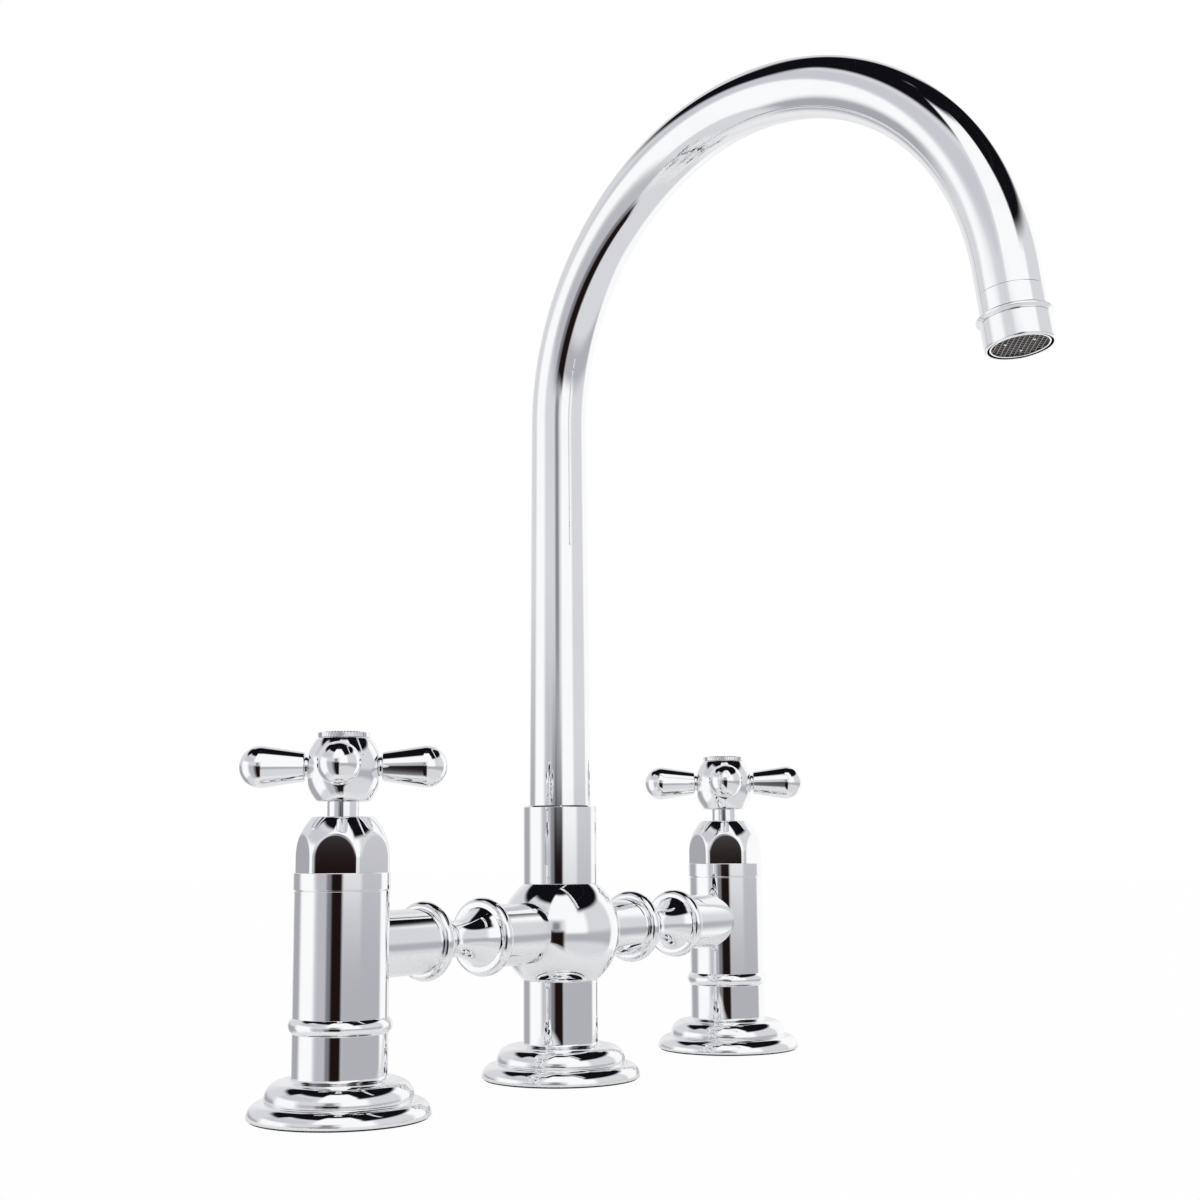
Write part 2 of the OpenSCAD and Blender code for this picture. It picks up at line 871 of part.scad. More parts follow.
// Collar nut with an inward lip at its top
module spout_collar() {
    color(chrome)
        rotate_extrude()
            difference() {
                union() {
                    translate([0, ball_top_z])
                        square([collar_r, collar_h - 0.5]);
                    translate([0, ball_top_z])
                        square([collar_r - 0.5, collar_h]);
                    translate([collar_r - 0.5, collar_top_z - 0.5])
                        quarter(0.5);
                }
                square([thread_r, bush_top_z]);
                square([spout_base_r + clear, collar_top_z + 1]);
            }
}

// Plastic bush that guides the tube inside the collar
module spout_bush() {
    color(plastic)
        ring(spout_base_r + run, thread_r - fit, bush_z, bush_top_z);
}

// Plastic ring that carries the spigot's rim on the ball's neck
module spout_glide_ring() {
    color(plastic)
        ring(socket_r + 0.3, thread_r - 0.4, socket_top_z, socket_top_z + glide_t);
}

// Places of the rubber rings on the spout's spigot
spout_seal_z = [spigot_low_z + spigot_reach * 0.32, spigot_low_z + spigot_reach * 0.96];

// Turned spigot on the spout's lower end
module spout_spigot() {
    color(brass)
        at_spout()
            difference() {
                union() {
                    translate([0, 0, spigot_low_z])
                        cylinder(r = socket_r - run, h = spigot_rim_z - spigot_low_z + 0.5);
                    translate([0, 0, spigot_rim_z])
                        cylinder(r = thread_r - clear, h = spigot_rim_h);
                    translate([0, 0, spigot_rim_z])
                        cylinder(r = spout_bore_r - fit, h = spigot_rim_h + spigot_nose_h);
                }
                translate([0, 0, spigot_low_z - 1])
                    cylinder(r = socket_r - 2.6, h = collar_top_z);
                groove(socket_r - o_ring_t - 0.1, socket_r + 1, spout_seal_z[0]);
                groove(socket_r - o_ring_t - 0.1, socket_r + 1, spout_seal_z[1]);
            }
}

// Two rubber rings that seal the spigot in its socket
module spout_seals() {
    color(rubber)
        at_spout() {
            o_ring(socket_r - o_ring_t - run / 2, spout_seal_z[0]);
            o_ring(socket_r - o_ring_t - run / 2, spout_seal_z[1]);
        }
}

// Swan-neck tube: plain in the collar, tapered up the riser, even round the bend
module spout_tube() {
    color(chrome) {
        at_spout() {
            difference() {
                union() {
                    translate([0, 0, tube_start_z])
                        cylinder(r = spout_base_r, h = collar_top_z - tube_start_z);
                    translate([0, 0, collar_top_z])
                        cylinder(r1 = spout_base_r, r2 = spout_r, h = riser);
                }
                translate([0, 0, tube_start_z - 1])
                    cylinder(r = spout_bore_r, h = bend_z - tube_start_z + 2);
            }
            translate([0, -bend_r, bend_z])
                rotate([90, 0, 90])
                    rotate_extrude(angle = bend_angle, $fn = 96)
                        translate([bend_r, 0])
                            difference() {
                                circle(spout_r);
                                circle(spout_bore_r);
                            }
        }
        at_outlet()
            rotate_extrude()
                polygon([
                    [spout_bore_r + weld_slope, -weld_lap - weld_slope], [spout_r - weld_slope, -weld_lap - weld_slope],
                    [spout_r + weld, -weld_lap + weld], [spout_r + weld, tail],
                    [spout_bore_r - weld, tail], [spout_bore_r - weld, -weld_lap + weld]
                ]);
    }
}

// Sleeve at the tube's end with a bevelled ring
module outlet_sleeve() {
    color(chrome)
        at_outlet()
            rotate_extrude()
                difference() {
                    union() {
                        translate([0, tail - 5])
                            square([spout_bore_r - fit, 6]);
                        translate([0, tail + 0.05])
                            square([spout_r, sleeve_h - 0.05]);
                        polygon([
                            [0, lip_s - lip_w], [spout_r, lip_s - lip_w], [lip_d / 2, lip_s - lip_w * 0.65],
                            [lip_d / 2, lip_s - lip_w * 0.35], [spout_r + 0.2, lip_s], [0, lip_s]
                        ]);
                    }
                    translate([0, tail - 6])
                        square([6.6, sleeve_h + 7]);
                    translate([0, washer_s])
                        square([outlet_thread_r, sleeve_h]);
                }
}

// Rubber washer between sleeve and housing
module aerator_washer() {
    color(rubber)
        at_outlet()
            ring(6.8, outlet_thread_r - fit, washer_s, washer_s + rubber_t);
}

// Housing that screws into the sleeve
module aerator_housing() {
    top_s = washer_s + rubber_t;
    color(chrome)
        at_outlet()
            rotate_extrude()
                difference() {
                    union() {
                        translate([0, top_s])
                            square([outlet_thread_r - fit, lip_s - top_s]);
                        translate([0, lip_s + fit])
                            square([housing_d / 2, housing_h - fit - 0.5]);
                        translate([0, outlet_s - 0.5])
                            square([housing_d / 2 - 0.5, 0.5]);
                        translate([housing_d / 2 - 0.5, outlet_s - 0.5])
                            quarter(0.5);
                        translate([0, lip_s - 1])
                            square([outlet_thread_r - fit, 2]);
                    }
                    translate([0, lip_s + 1])
                        square([housing_bore_r, housing_h]);
                    translate([0, top_s - 1])
                        square([outlet_thread_r - 1.2, sleeve_h + housing_h]);
                }
}

// Cup that carries the mesh, with a flange at its top
module aerator_insert() {
    color([0.75, 0.76, 0.78])
        at_outlet()
            rotate_extrude()
                difference() {
                    union() {
                        translate([0, lip_s + 1])
                            square([housing_bore_r - fit, 1.2]);
                        translate([0, lip_s + 1])
                            square([insert_r, housing_h - 1.2]);
                    }
                    translate([0, lip_s])
                        square([mesh_r - 0.8, housing_h]);
                    translate([0, outlet_s - mesh_inset - mesh_t])
                        square([mesh_r + fit, 3]);
                }
}

// Fine mesh at the mouth
module aerator_mesh() {
    color([0.25, 0.25, 0.26])
        at_outlet()
            translate([0, 0, outlet_s - mesh_inset - mesh_t])
                cylinder(r = mesh_r, h = mesh_t);
}

valve_body(hot);  // hot_valve_body
valve_body(cold);  // cold_valve_body
at_leg(hot) flange(body_r - spigot_step);  // hot_flange
at_leg(cold) flange(body_r - spigot_step);  // cold_flange
flange(column_r - spigot_step);  // centre_flange
at_leg(hot) gasket();  // hot_gasket
at_leg(cold) gasket();  // cold_gasket
gasket();  // centre_gasket
shank(hot);  // hot_shank
shank(cold);  // cold_shank
at_leg(hot) leg_washer(shank_r);  // hot_washer
at_leg(cold) leg_washer(shank_r);  // cold_washer
leg_washer(stud_d / 2);  // centre_washer
at_leg(hot) lock_nut(shank_r, nut_w);  // hot_lock_nut
at_leg(cold) lock_nut(shank_r, nut_w);  // cold_lock_nut
lock_nut(stud_d / 2, stud_nut_w);  // centre_nut
bonnet(hot);  // hot_bonnet
bonnet(cold);  // cold_bonnet
cartridge(hot);  // hot_cartridge
cartridge(cold);  // cold_cartridge
spindle(hot);  // hot_spindle
spindle(cold);  // cold_spindle
moving_disc(hot);  // hot_moving_disc
moving_disc(cold);  // cold_moving_disc
fixed_disc(hot);  // hot_fixed_disc
fixed_disc(cold);  // cold_fixed_disc
seat_seal(hot);  // hot_seat_seal
seat_seal(cold);  // cold_seat_seal
spindle_seal(hot);  // hot_spindle_seal
spindle_seal(cold);  // cold_spindle_seal
stem_sleeve(hot);  // hot_stem_sleeve
stem_sleeve(cold);  // cold_stem_sleeve
handle_hub(hot);  // hot_handle_hub
handle_hub(cold);  // cold_handle_hub
handle_arms(hot);  // hot_handle_arms
handle_arms(cold);  // cold_handle_arms
handle_screw(hot);  // hot_handle_screw
handle_screw(cold);  // cold_handle_screw
button(hot);  // hot_button
button(cold);  // cold_button
bridge_arm(hot);  // hot_bridge_arm
bridge_arm(cold);  // cold_bridge_arm
arm_seals(hot);  // hot_arm_seals
arm_seals(cold);  // cold_arm_seals
bridge_ball();
centre_column();
centre_stud();
spout_collar();
spout_bush();
spout_glide_ring();
spout_spigot();
spout_seals();
spout_tube();
outlet_sleeve();
aerator_washer();
aerator_housing();
aerator_insert();
aerator_mesh();
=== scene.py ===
import bpy
import bmesh
import json
import math
import numpy as np
from mathutils import Matrix, Vector


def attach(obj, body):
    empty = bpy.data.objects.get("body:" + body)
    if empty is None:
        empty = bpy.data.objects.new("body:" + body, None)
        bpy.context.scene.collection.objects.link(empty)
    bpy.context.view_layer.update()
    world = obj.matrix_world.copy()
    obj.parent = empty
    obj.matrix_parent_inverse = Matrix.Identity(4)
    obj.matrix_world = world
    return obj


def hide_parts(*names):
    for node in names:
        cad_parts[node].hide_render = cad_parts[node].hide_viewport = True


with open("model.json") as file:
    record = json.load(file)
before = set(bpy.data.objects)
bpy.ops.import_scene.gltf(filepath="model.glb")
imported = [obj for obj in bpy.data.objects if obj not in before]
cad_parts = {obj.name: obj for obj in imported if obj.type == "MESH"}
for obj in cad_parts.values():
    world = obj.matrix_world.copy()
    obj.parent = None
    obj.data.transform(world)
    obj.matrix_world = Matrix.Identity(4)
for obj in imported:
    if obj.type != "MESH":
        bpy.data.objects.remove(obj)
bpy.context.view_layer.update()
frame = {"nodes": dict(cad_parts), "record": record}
scene = bpy.context.scene
mm = 0.001
print("frame loaded:", len(frame["nodes"]), "nodes")

# Where the legs stand, how the moving pieces rest and what several pieces share, in mm and degrees
feet = {"hot": -101.6, "centre": 0.0, "cold": 101.6}
turns = {"hot": 42.0, "cold": 34.5}
layout = {
    "spoutTurn": -8.7,
    "bridgeZ": 47.5,
    "ball": 19.9,
    "foot": 10.8,
    "cove": 1.2,
    "bonnetSeam": 63.7,
    "collarTop": 88.98,
}
valves = {side: feet[side] for side in turns}
white = (1.0, 1.0, 1.0)


# A socket that does arithmetic
class Sock:
    def __init__(self, graph, socket):
        self.graph = graph
        self.socket = socket

    def maths(self, operation, *others):
        return self.graph.add("ShaderNodeMath", [self, *others], {"operation": operation})

    def __add__(self, other):
        return self.maths("ADD", other)

    def __sub__(self, other):
        return self.maths("SUBTRACT", other)

    def __rsub__(self, other):
        return self.graph.add("ShaderNodeMath", [other, self], {"operation": "SUBTRACT"})

    def __mul__(self, other):
        return self.maths("MULTIPLY", other)

    def __truediv__(self, other):
        return self.maths("DIVIDE", other)

    def __gt__(self, other):
        return self.maths("GREATER_THAN", other)

    def __lt__(self, other):
        return self.maths("LESS_THAN", other)


# A node tree that adds nodes with inputs and settings
class Graph:
    def __init__(self, tree):
        self.tree = tree

    def node(self, kind, values=None, settings=None):
        made = self.tree.nodes.new(kind)
        for key, value in (settings or {}).items():
            setattr(made, key, value)
        for key, value in values.items() if isinstance(values, dict) else enumerate(values or []):
            if isinstance(value, Sock):
                self.link(value, made, key)
            else:
                made.inputs[key].default_value = value
        return made

    def add(self, kind, values=None, settings=None, out=0):
        return Sock(self, self.node(kind, values, settings).outputs[out])

    def link(self, source, node, key):
        self.tree.links.new(source.socket, node.inputs[key])

    def axes(self, vector):
        return [Sock(self, output) for output in self.node("ShaderNodeSeparateXYZ", [vector]).outputs]

    def rays(self):
        path = self.node("ShaderNodeLightPath")
        return [Sock(self, path.outputs[name]) for name in ("Is Camera Ray", "Is Glossy Ray")]


# Materials: colours are red, green and blue, sizes are metres and scales are per metre
def rgba(colour):
    return colour if isinstance(colour, Sock) else (*colour, 1.0)


def newMaterial(name, colour, metallic, roughness):
    material = bpy.data.materials.new(name)
    material.use_nodes = True
    shader = material.node_tree.nodes["Principled BSDF"]
    shader.inputs["Base Color"].default_value = rgba(colour)
    shader.inputs["Metallic"].default_value = metallic
    shader.inputs["Roughness"].default_value = roughness
    graph = Graph(material.node_tree)
    return material, graph, shader, graph.add("ShaderNodeTexCoord", out=3)


def noise(graph, spot, scale, detail, roughness):
    inputs = {"Vector": spot, "Scale": scale, "Detail": detail, "Roughness": roughness}
    return graph.add("ShaderNodeTexNoise", inputs)


def mixColour(graph, factor, first, second):
    inputs = {0: factor, 6: rgba(first), 7: rgba(second)}
    return graph.add("ShaderNodeMix", inputs, {"data_type": "RGBA"}, out=2)


def addBump(graph, shader, height, strength, distance):
    normal = graph.add("ShaderNodeBump", {"Height": height, "Strength": strength, "Distance": distance})
    graph.link(normal, shader, "Normal")


chromeLook = {
    "colour": (0.945, 0.95, 0.96),
    "shade": (0.88, 0.89, 0.91),
    "shadeShare": 0.5,
    "roughness": 0.018,
    "smudge": 0.05,
    "smudgeScale": 38.0,
    "smudgeFrom": 0.52,
    "smudgeFull": 0.75,
    "wave": 0.03,
    "waveScale": 60.0,
    "waveHeight": 0.0002,
}


def chromeMaterial(name, look):
    material, graph, shader, spot = newMaterial(name, look["colour"], 1.0, look["roughness"])
    smudge = noise(graph, spot, look["smudgeScale"], 5.0, 0.6)
    edges = {"Value": smudge, "From Min": look["smudgeFrom"], "From Max": look["smudgeFull"]}
    film = graph.add("ShaderNodeMapRange", edges)
    graph.link(film * look["smudge"] + look["roughness"], shader, "Roughness")
    colour = mixColour(graph, film * look["shadeShare"], look["colour"], look["shade"])
    graph.link(colour, shader, "Base Color")
    wave = noise(graph, spot, look["waveScale"], 1.0, 0.4)
    addBump(graph, shader, wave, look["wave"], look["waveHeight"])
    return material


# Turned metals: what they share, then for each slot the name, colour, stain, roughness and lines
turnedLook = {
    "stainScale": 90.0,
    "stainSpread": 0.18,
    "stainOffset": 0.05,
    "lineWander": 1.5,
    "lineStrength": 0.25,
    "lineDepth": 0.00008,
}
turnedMetals = {
    "button_metal": ("satinButtonPlate", (0.86, 0.87, 0.88), (0.78, 0.79, 0.81), 0.24, 900.0),
    "brass": ("machinedBrass", (0.78, 0.60, 0.30), (0.62, 0.45, 0.20), 0.30, 700.0),
    "steel": ("zincedSteel", (0.62, 0.63, 0.65), (0.50, 0.51, 0.53), 0.36, 500.0),
    "mesh_metal": ("wovenMeshSteel", (0.50, 0.48, 0.46), (0.30, 0.28, 0.27), 0.34, 1500.0),
}


def turnedMaterial(look, name, colour, dark, roughness, lines):
    material, graph, shader, spot = newMaterial(name, colour, 1.0, roughness)
    inputs = {"Vector": spot, "Scale": lines, "Distortion": look["lineWander"]}
    inputs |= {"Detail": 3.0, "Detail Scale": 2.0}
    marks = graph.add("ShaderNodeTexWave", inputs, {"wave_type": "BANDS", "bands_direction": "Z"}, out=1)
    stain = noise(graph, spot, look["stainScale"], 4.0, 0.6)
    graph.link(mixColour(graph, stain, colour, dark), shader, "Base Color")
    graph.link(stain * look["stainSpread"] + roughness - look["stainOffset"], shader, "Roughness")
    addBump(graph, shader, marks, look["lineStrength"], look["lineDepth"])
    return material


# Grained materials: what they share, then for each slot the name, colour, stain, roughness, grain and depth
grainLook = {
    "spread": 0.15,
    "offset": 0.07,
    "strength": 0.3,
}
grainedMaterials = {
    "rubber": ("blackRubber", (0.028, 0.028, 0.028), (0.012, 0.012, 0.012), 0.62, 900.0, 0.00006),
    "ceramic": ("whiteCeramic", (0.86, 0.85, 0.81), (0.80, 0.79, 0.75), 0.22, 300.0, 0.00001),
    "white_plastic": ("whitePlastic", (0.82, 0.82, 0.80), (0.76, 0.76, 0.73), 0.42, 500.0, 0.00003),
    # the gap slot is near-black painted shade: it paints the shade inside gaps and behind the aerator's weave
    "gap": ("paintedShadeGap", (0.012, 0.012, 0.013), (0.006, 0.006, 0.006), 0.7, 700.0, 0.00003),
}


def grainMaterial(look, name, colour, dark, roughness, scale, depth):
    material, graph, shader, spot = newMaterial(name, colour, 0.0, roughness)
    grain = noise(graph, spot, scale, 6.0, 0.65)
    graph.link(mixColour(graph, grain, colour, dark), shader, "Base Color")
    graph.link(grain * look["spread"] + roughness - look["offset"], shader, "Roughness")
    addBump(graph, shader, grain, look["strength"], depth)
    return material


chrome = chromeMaterial("polishedChrome", chromeLook)
materials = {"chrome": chrome}
for slot, values in turnedMetals.items():
    materials[slot] = turnedMaterial(turnedLook, *values)
for slot, values in grainedMaterials.items():
    materials[slot] = grainMaterial(grainLook, *values)
slotOfNode = {part["node"]: part["material_slot"] for part in frame["record"]["subparts"]}
bodyOfNode = {node: body for body, nodes in frame["record"]["behaviour"]["bodies"].items() for node in nodes}
for nodeName, nodeObject in frame["nodes"].items():
    nodeObject.data.materials.clear()
    nodeObject.data.materials.append(materials[slotOfNode[nodeName]])
print("materials made")


# Turned outlines are points (r, z) in mm that go round a section with the metal on their left
def arc(cr, cz, radius, start, end, steps):
    return [(cr + radius * math.cos(math.radians(a)), cz + radius * math.sin(math.radians(a)))
            for a in np.linspace(start, end, steps + 1)]


# Rounds the corners of an outline that turn by more than sharpest degrees
def soften(points, radius, closed=False, sharpest=25.0, steps=4):
    count = len(points)
    result = []
    for i, point in enumerate(points):
        if not closed and i in (0, count - 1):
            result.append(point)
            continue
        here = np.array(point, float)
        back = np.array(points[i - 1], float) - here
        ahead = np.array(points[(i + 1) % count], float) - here
        backLength, aheadLength = np.linalg.norm(back), np.linalg.norm(ahead)
        if backLength < 1e-9 or aheadLength < 1e-9:
            continue
        back /= backLength
        ahead /= aheadLength
        turn = math.degrees(math.acos(max(-1.0, min(1.0, float(-back @ ahead)))))
        if turn < sharpest or here[0] < 1e-6:
            result.append(point)
            continue
        half = math.radians(turn) / 2
        reach = min(radius * math.tan(half), 0.45 * backLength, 0.45 * aheadLength)
        actual = reach / math.tan(half)
        inward = back + ahead
        inward /= np.linalg.norm(inward)
        centre = here + inward * actual / math.cos(half)
        first, last = here + back * reach - centre, here + ahead * reach - centre
        a0, a1 = math.atan2(first[1], first[0]), math.atan2(last[1], last[0])
        sweep = (a1 - a0 + math.pi) % (2 * math.pi) - math.pi
        for k in range(steps + 1):
            a = a0 + sweep * k / steps
            result.append((centre[0] + actual * math.cos(a), centre[1] + actual * math.sin(a)))
    return result


# Normals before and after each point: apart at sharp corners, else shared, or those of a much longer edge
def outlineNormals(points, closed, sharp=24.0, longer=2.5):
    count = len(points)
    flat = np.array(points, float)
    edgeCount = count if closed else count - 1
    edges = np.array([flat[(i + 1) % count] - flat[i] for i in range(edgeCount)])
    lengths = np.maximum(np.linalg.norm(edges, axis=1), 1e-12)
    sides = np.stack([edges[:, 1], -edges[:, 0]], 1) / lengths[:, None]
    before, after = np.zeros((count, 2)), np.zeros((count, 2))
    for i in range(count):
        left = (i - 1) % edgeCount if closed or i > 0 else i
        right = i if i < edgeCount else left
        turn = math.degrees(math.acos(max(-1.0, min(1.0, float(sides[left] @ sides[right])))))
        if turn > sharp:
            before[i], after[i] = sides[left], sides[right]
        elif lengths[left] > longer * lengths[right]:
            before[i] = after[i] = sides[left]
        elif lengths[right] > longer * lengths[left]:
            before[i] = after[i] = sides[right]
        else:
            both = sides[left] + sides[right]
            before[i] = after[i] = both / np.linalg.norm(both)
    return before, after


# The points, faces and corner normals of one piece, in mm
class Shell:
    def __init__(self, points, faces, normals=()):
        self.points = points
        self.faces = faces
        self.normals = normals

    def moved(self, matrix):
        turn = np.array(matrix.to_3x3())
        shift = np.array(matrix.translation)
        self.points = [tuple(p) for p in np.array(self.points) @ turn.T + shift]
        self.normals = [tuple(n) for n in np.array(self.normals) @ turn.T]
        return self


# Faces between rings of points, with a normal for each corner; a ring of one point is a pole
def ringShell(rings, before, after, closed):
    points, faces, normals, starts = [], [], [], []
    for ring in rings:
        starts.append(len(points))
        points.extend(map(tuple, ring))
    here = np.arange(len(before[0]))
    ahead = (here + 1) % len(here)
    for i in range(len(rings) if closed else len(rings) - 1):
        k = (i + 1) % len(rings)
        corners = [(i, here, after), (i, ahead, after), (k, ahead, before), (k, here, before)]
        if len(rings[i]) == 1:
            del corners[1]
        elif len(rings[k]) == 1:
            del corners[2]
        strip = np.stack([starts[ring] + spots % len(rings[ring]) for ring, spots, side in corners], 1)
        faces.extend(map(tuple, strip.tolist()))
        strip = np.stack([side[ring][spots] for ring, spots, side in corners], 1)
        normals.extend(map(tuple, strip.reshape(-1, 3).tolist()))
    return Shell(points, faces, normals)


# A ring of upright flats: how far they stand from the axis at each angle, and which way they look
def flatWall(angles, flats):
    share = 2 * math.pi / flats["count"]
    phase = (angles - math.radians(flats["turn"]) + share / 2) % share - share / 2
    normals = np.stack([np.cos(angles - phase), np.sin(angles - phase), 0 * phase], 1)
    return flats["distance"] / np.cos(phase), normals


# Turns an outline about Z; flats, where given, cut its rows from first to last and blend into the rest
def spun(rows, closed=False, around=144, flats=None, first=0, last=0):
    edgesBefore, edgesAfter = outlineNormals(rows, closed)
    angles = np.linspace(0, 2 * math.pi, around, endpoint=False)
    radial = np.stack([np.cos(angles), np.sin(angles), 0 * angles], 1)
    up = np.array([0.0, 0.0, 1.0])
    rings, before, after = [], [], []
    if flats:
        wall, wallNormal = flatWall(angles, flats)
    for i, (r, z) in enumerate(rows):
        onAxis = r < 1e-6
        isCut = flats and first <= i <= last
        radius = np.full(around, float(r))
        if isCut:
            weight = np.clip(0.5 + 0.5 * (wall - r) / flats["ease"], 0.0, 1.0)
            radius = wall * (1 - weight) + r * weight - flats["ease"] * weight * (1 - weight)
        rings.append(np.array([(0.0, 0.0, z)]) if onAxis else radial * radius[:, None] + up * z)
        for store, (across, rise), end in ((before, edgesBefore[i], first), (after, edgesAfter[i], last)):
            normal = radial * (0.0 if onAxis and abs(rise) > 0.5 else across) + up * rise
            if isCut and i != end:
                normal = normal * weight[:, None] + wallNormal * (1 - weight[:, None])
                normal /= np.linalg.norm(normal, axis=1)[:, None]
            store.append(normal)
    return ringShell(rings, before, after, closed)


def turnedRing(points, around, ease, sharpest=25.0):
    return spun(soften(points, ease, True, sharpest), True, around)


def plainRing(bore, radius, low, top, ease, around):
    return turnedRing([(bore, low), (radius, low), (radius, top), (bore, top)], around, ease)


def meshFrom(name, shell, material):
    mesh = bpy.data.meshes.new(name)
    mesh.from_pydata([tuple(p) for p in np.array(shell.points) * mm], [], shell.faces)
    mesh.materials.append(material)
    if shell.normals:
        mesh.shade_smooth()
        mesh.normals_split_custom_set(shell.normals)
        mesh.validate()
    return mesh


def linked(name, data):
    made = bpy.data.objects.new(name, data)
    scene.collection.objects.link(made)
    return made


def seat(made, node):
    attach(made, bodyOfNode[node])
    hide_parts(node)


def piece(name, shell, node, material=None):
    seat(linked(name, meshFrom(name, shell, material or materials[slotOfNode[node]])), node)


def at(x=0.0, y=0.0, z=0.0, turn=0.0):
    return Matrix.Translation((x, y, z)) @ Matrix.Rotation(math.radians(turn), 4, "Z")


alongX = Matrix.Rotation(math.radians(90), 4, "Y")   # carries an outline's axis from Z to X

# Flanges, and the gaskets that line them and show a lip at the deck
gasket = {
    "bore": 12.5,
    "radius": 25.4,
    "plugRadius": 22.9,
    "lip": 0.5,
    "top": 2.0,
    "ease": 0.2,
    "around": 96,
}
flangeBore = {"hot": 12.9, "centre": 11.65, "cold": 12.9}
flange = {
    "radius": 26.0,
    "edge": 0.5,
    "lowRound": 4.1,
    "stepRadius": 21.2,
    "upRound": 5.0,
    "cavityRadius": 23.0,
    "cavityTop": 7.8,
    "innerCavity": 18.6,
    "ease": 0.15,
    "around": 192,
}


def gasketShell(bore, radius, plugRadius, lip, top, ease, around):
    points = [(bore, 0.0), (radius, 0.0), (radius, lip), (plugRadius, lip), (plugRadius, top), (bore, top)]
    return turnedRing(points, around, ease)


def flangeShell(bore, low, seatZ, top, radius, edge, lowRound, stepRadius, upRound, cavityRadius, cavityTop,
                innerCavity, ease, around):
    points = [(cavityRadius, low), (radius, low), (radius, low + edge)]
    points += arc(radius - lowRound, low + edge, lowRound, 0, 90, 20)[1:]
    points += [(stepRadius, low + edge + lowRound), (stepRadius, top - upRound)]
    points += arc(stepRadius - upRound, top - upRound, upRound, 0, 90, 24)[1:]
    points += [(bore, top), (bore, cavityTop), (innerCavity, cavityTop)]
    points += [(innerCavity, seatZ), (cavityRadius, seatZ)]
    return turnedRing(points, around, ease)


for side, x in feet.items():
    shell = flangeShell(flangeBore[side], gasket["lip"], gasket["top"], layout["foot"], **flange)
    piece(side + "FlangePlate", shell.moved(at(x)), side + "_flange")
    piece(side + "DeckGasket", gasketShell(**gasket).moved(at(x)), side + "_gasket")
print("flanges made")

# Valve pillars, with a bead and a cove at the foot
pillar = {
    "radius": 13.65,
    "beadZ": 25.8,
    "beadHalf": 2.2,
    "beadRadius": 14.8,
    "spigot": 12.85,
    "spigotLength": 2.0,
    "chamber": 9.95,
    "chamberFloor": 36.0,
    "inletRadius": 10.5,
    "inletTop": 20.8,
    "waterRadius": 6.0,
    "seamEase": 0.3,
    "ease": 0.12,
    "around": 168,
}


def cove(radius, foot, size):
    return [(radius + size, foot)] + arc(radius + size, foot + size, size, 270, 180, 8)[1:]


def pillarShell(foot, coveSize, top, radius, beadZ, beadHalf, beadRadius, spigot, spigotLength, chamber,
                chamberFloor, inletRadius, inletTop, waterRadius, seamEase, ease, around):
    bulge = beadRadius - radius
    beadRound = (beadHalf ** 2 + bulge ** 2) / (2 * bulge)
    sweep = math.degrees(math.asin(beadHalf / beadRound))
    points = [(inletRadius, foot - spigotLength), (spigot, foot - spigotLength), (spigot, foot)]
    points += cove(radius, foot, coveSize) + [(radius, beadZ - beadHalf)]
    points += arc(beadRadius - beadRound, beadZ, beadRound, -sweep, sweep, 16)[1:-1]
    points += [(radius, beadZ + beadHalf), (radius, top - seamEase), (radius - seamEase, top)]
    points += [(chamber, top), (chamber, chamberFloor), (waterRadius, chamberFloor)]
    points += [(waterRadius, inletTop), (inletRadius, inletTop)]
    return turnedRing(points, around, ease, 40)


for side, x in valves.items():
    shell = pillarShell(layout["foot"], layout["cove"], layout["bonnetSeam"], **pillar)
    piece(side + "PillarBody", shell.moved(at(x)), side + "_valve_body")
print("pillars made")

# Bonnets: a plain band, then a dome whose six flats end in arches
bonnet = {
    "band": 13.9,
    "seamEase": 0.35,
    "seamCorner": 0.1,
    "rimEase": 0.2,
    "rimCorner": 0.06,
    "rimInset": 0.18,
    "flatsFrom": 68.6,
    "top": 84.6,
    "flats": {"count": 6, "distance": 12.1, "turn": 35.0, "ease": 0.3},
    "domeRadius": 13.6,
    "domeRise": 4.2,
    "domeSide": 17.0,
    "domeRound": 0.8,
    "stemHole": 4.9,
    "stemEase": 0.3,
    "room": 10.8,
    "roomTop": 76.0,
    "neckRoom": 6.55,
    "neckTop": 79.5,
    "around": 432,
}


def bonnetShell(seam, band, seamEase, seamCorner, rimEase, rimCorner, rimInset, flatsFrom, top, flats,
                domeRadius, domeRise, domeSide, domeRound, stemHole, stemEase, room, roomTop, neckRoom,
                neckTop, around):
    sideX, sideZ = domeRadius - domeSide, flatsFrom + domeRise
    roundZ = top - domeRound
    roundX = sideX + math.sqrt((domeSide - domeRound) ** 2 - (roundZ - sideZ) ** 2)
    lean = math.degrees(math.atan2(roundZ - sideZ, roundX - sideX))
    rows = [(room, seam), (band - seamEase, seam), (band - seamCorner, seam + seamCorner)]
    rows += [(band, seam + seamEase), (band, flatsFrom - rimEase)]
    rows += [(band - rimCorner, flatsFrom - rimCorner), (band - rimInset, flatsFrom)]
    first = len(rows)
    rows += [(domeRadius, flatsFrom + 0.001), (domeRadius, flatsFrom + 1)]
    rows += arc(sideX, sideZ, domeSide, 0, lean, 90)
    rows += arc(roundX, roundZ, domeRound, lean, 90, 26)[1:]
    rows += [(roundX - 0.4, top), (stemHole + stemEase, top)]
    last = len(rows) - 1
    rows += [(stemHole, top - stemEase), (stemHole, neckTop), (neckRoom, neckTop)]
    rows += [(neckRoom, roomTop), (room, roomTop), (room, seam)]
    return spun(rows, False, around, flats, first, last)


for side, x in valves.items():
    piece(side + "BonnetDome", bonnetShell(layout["bonnetSeam"], **bonnet).moved(at(x)), side + "_bonnet")
print("bonnets made")

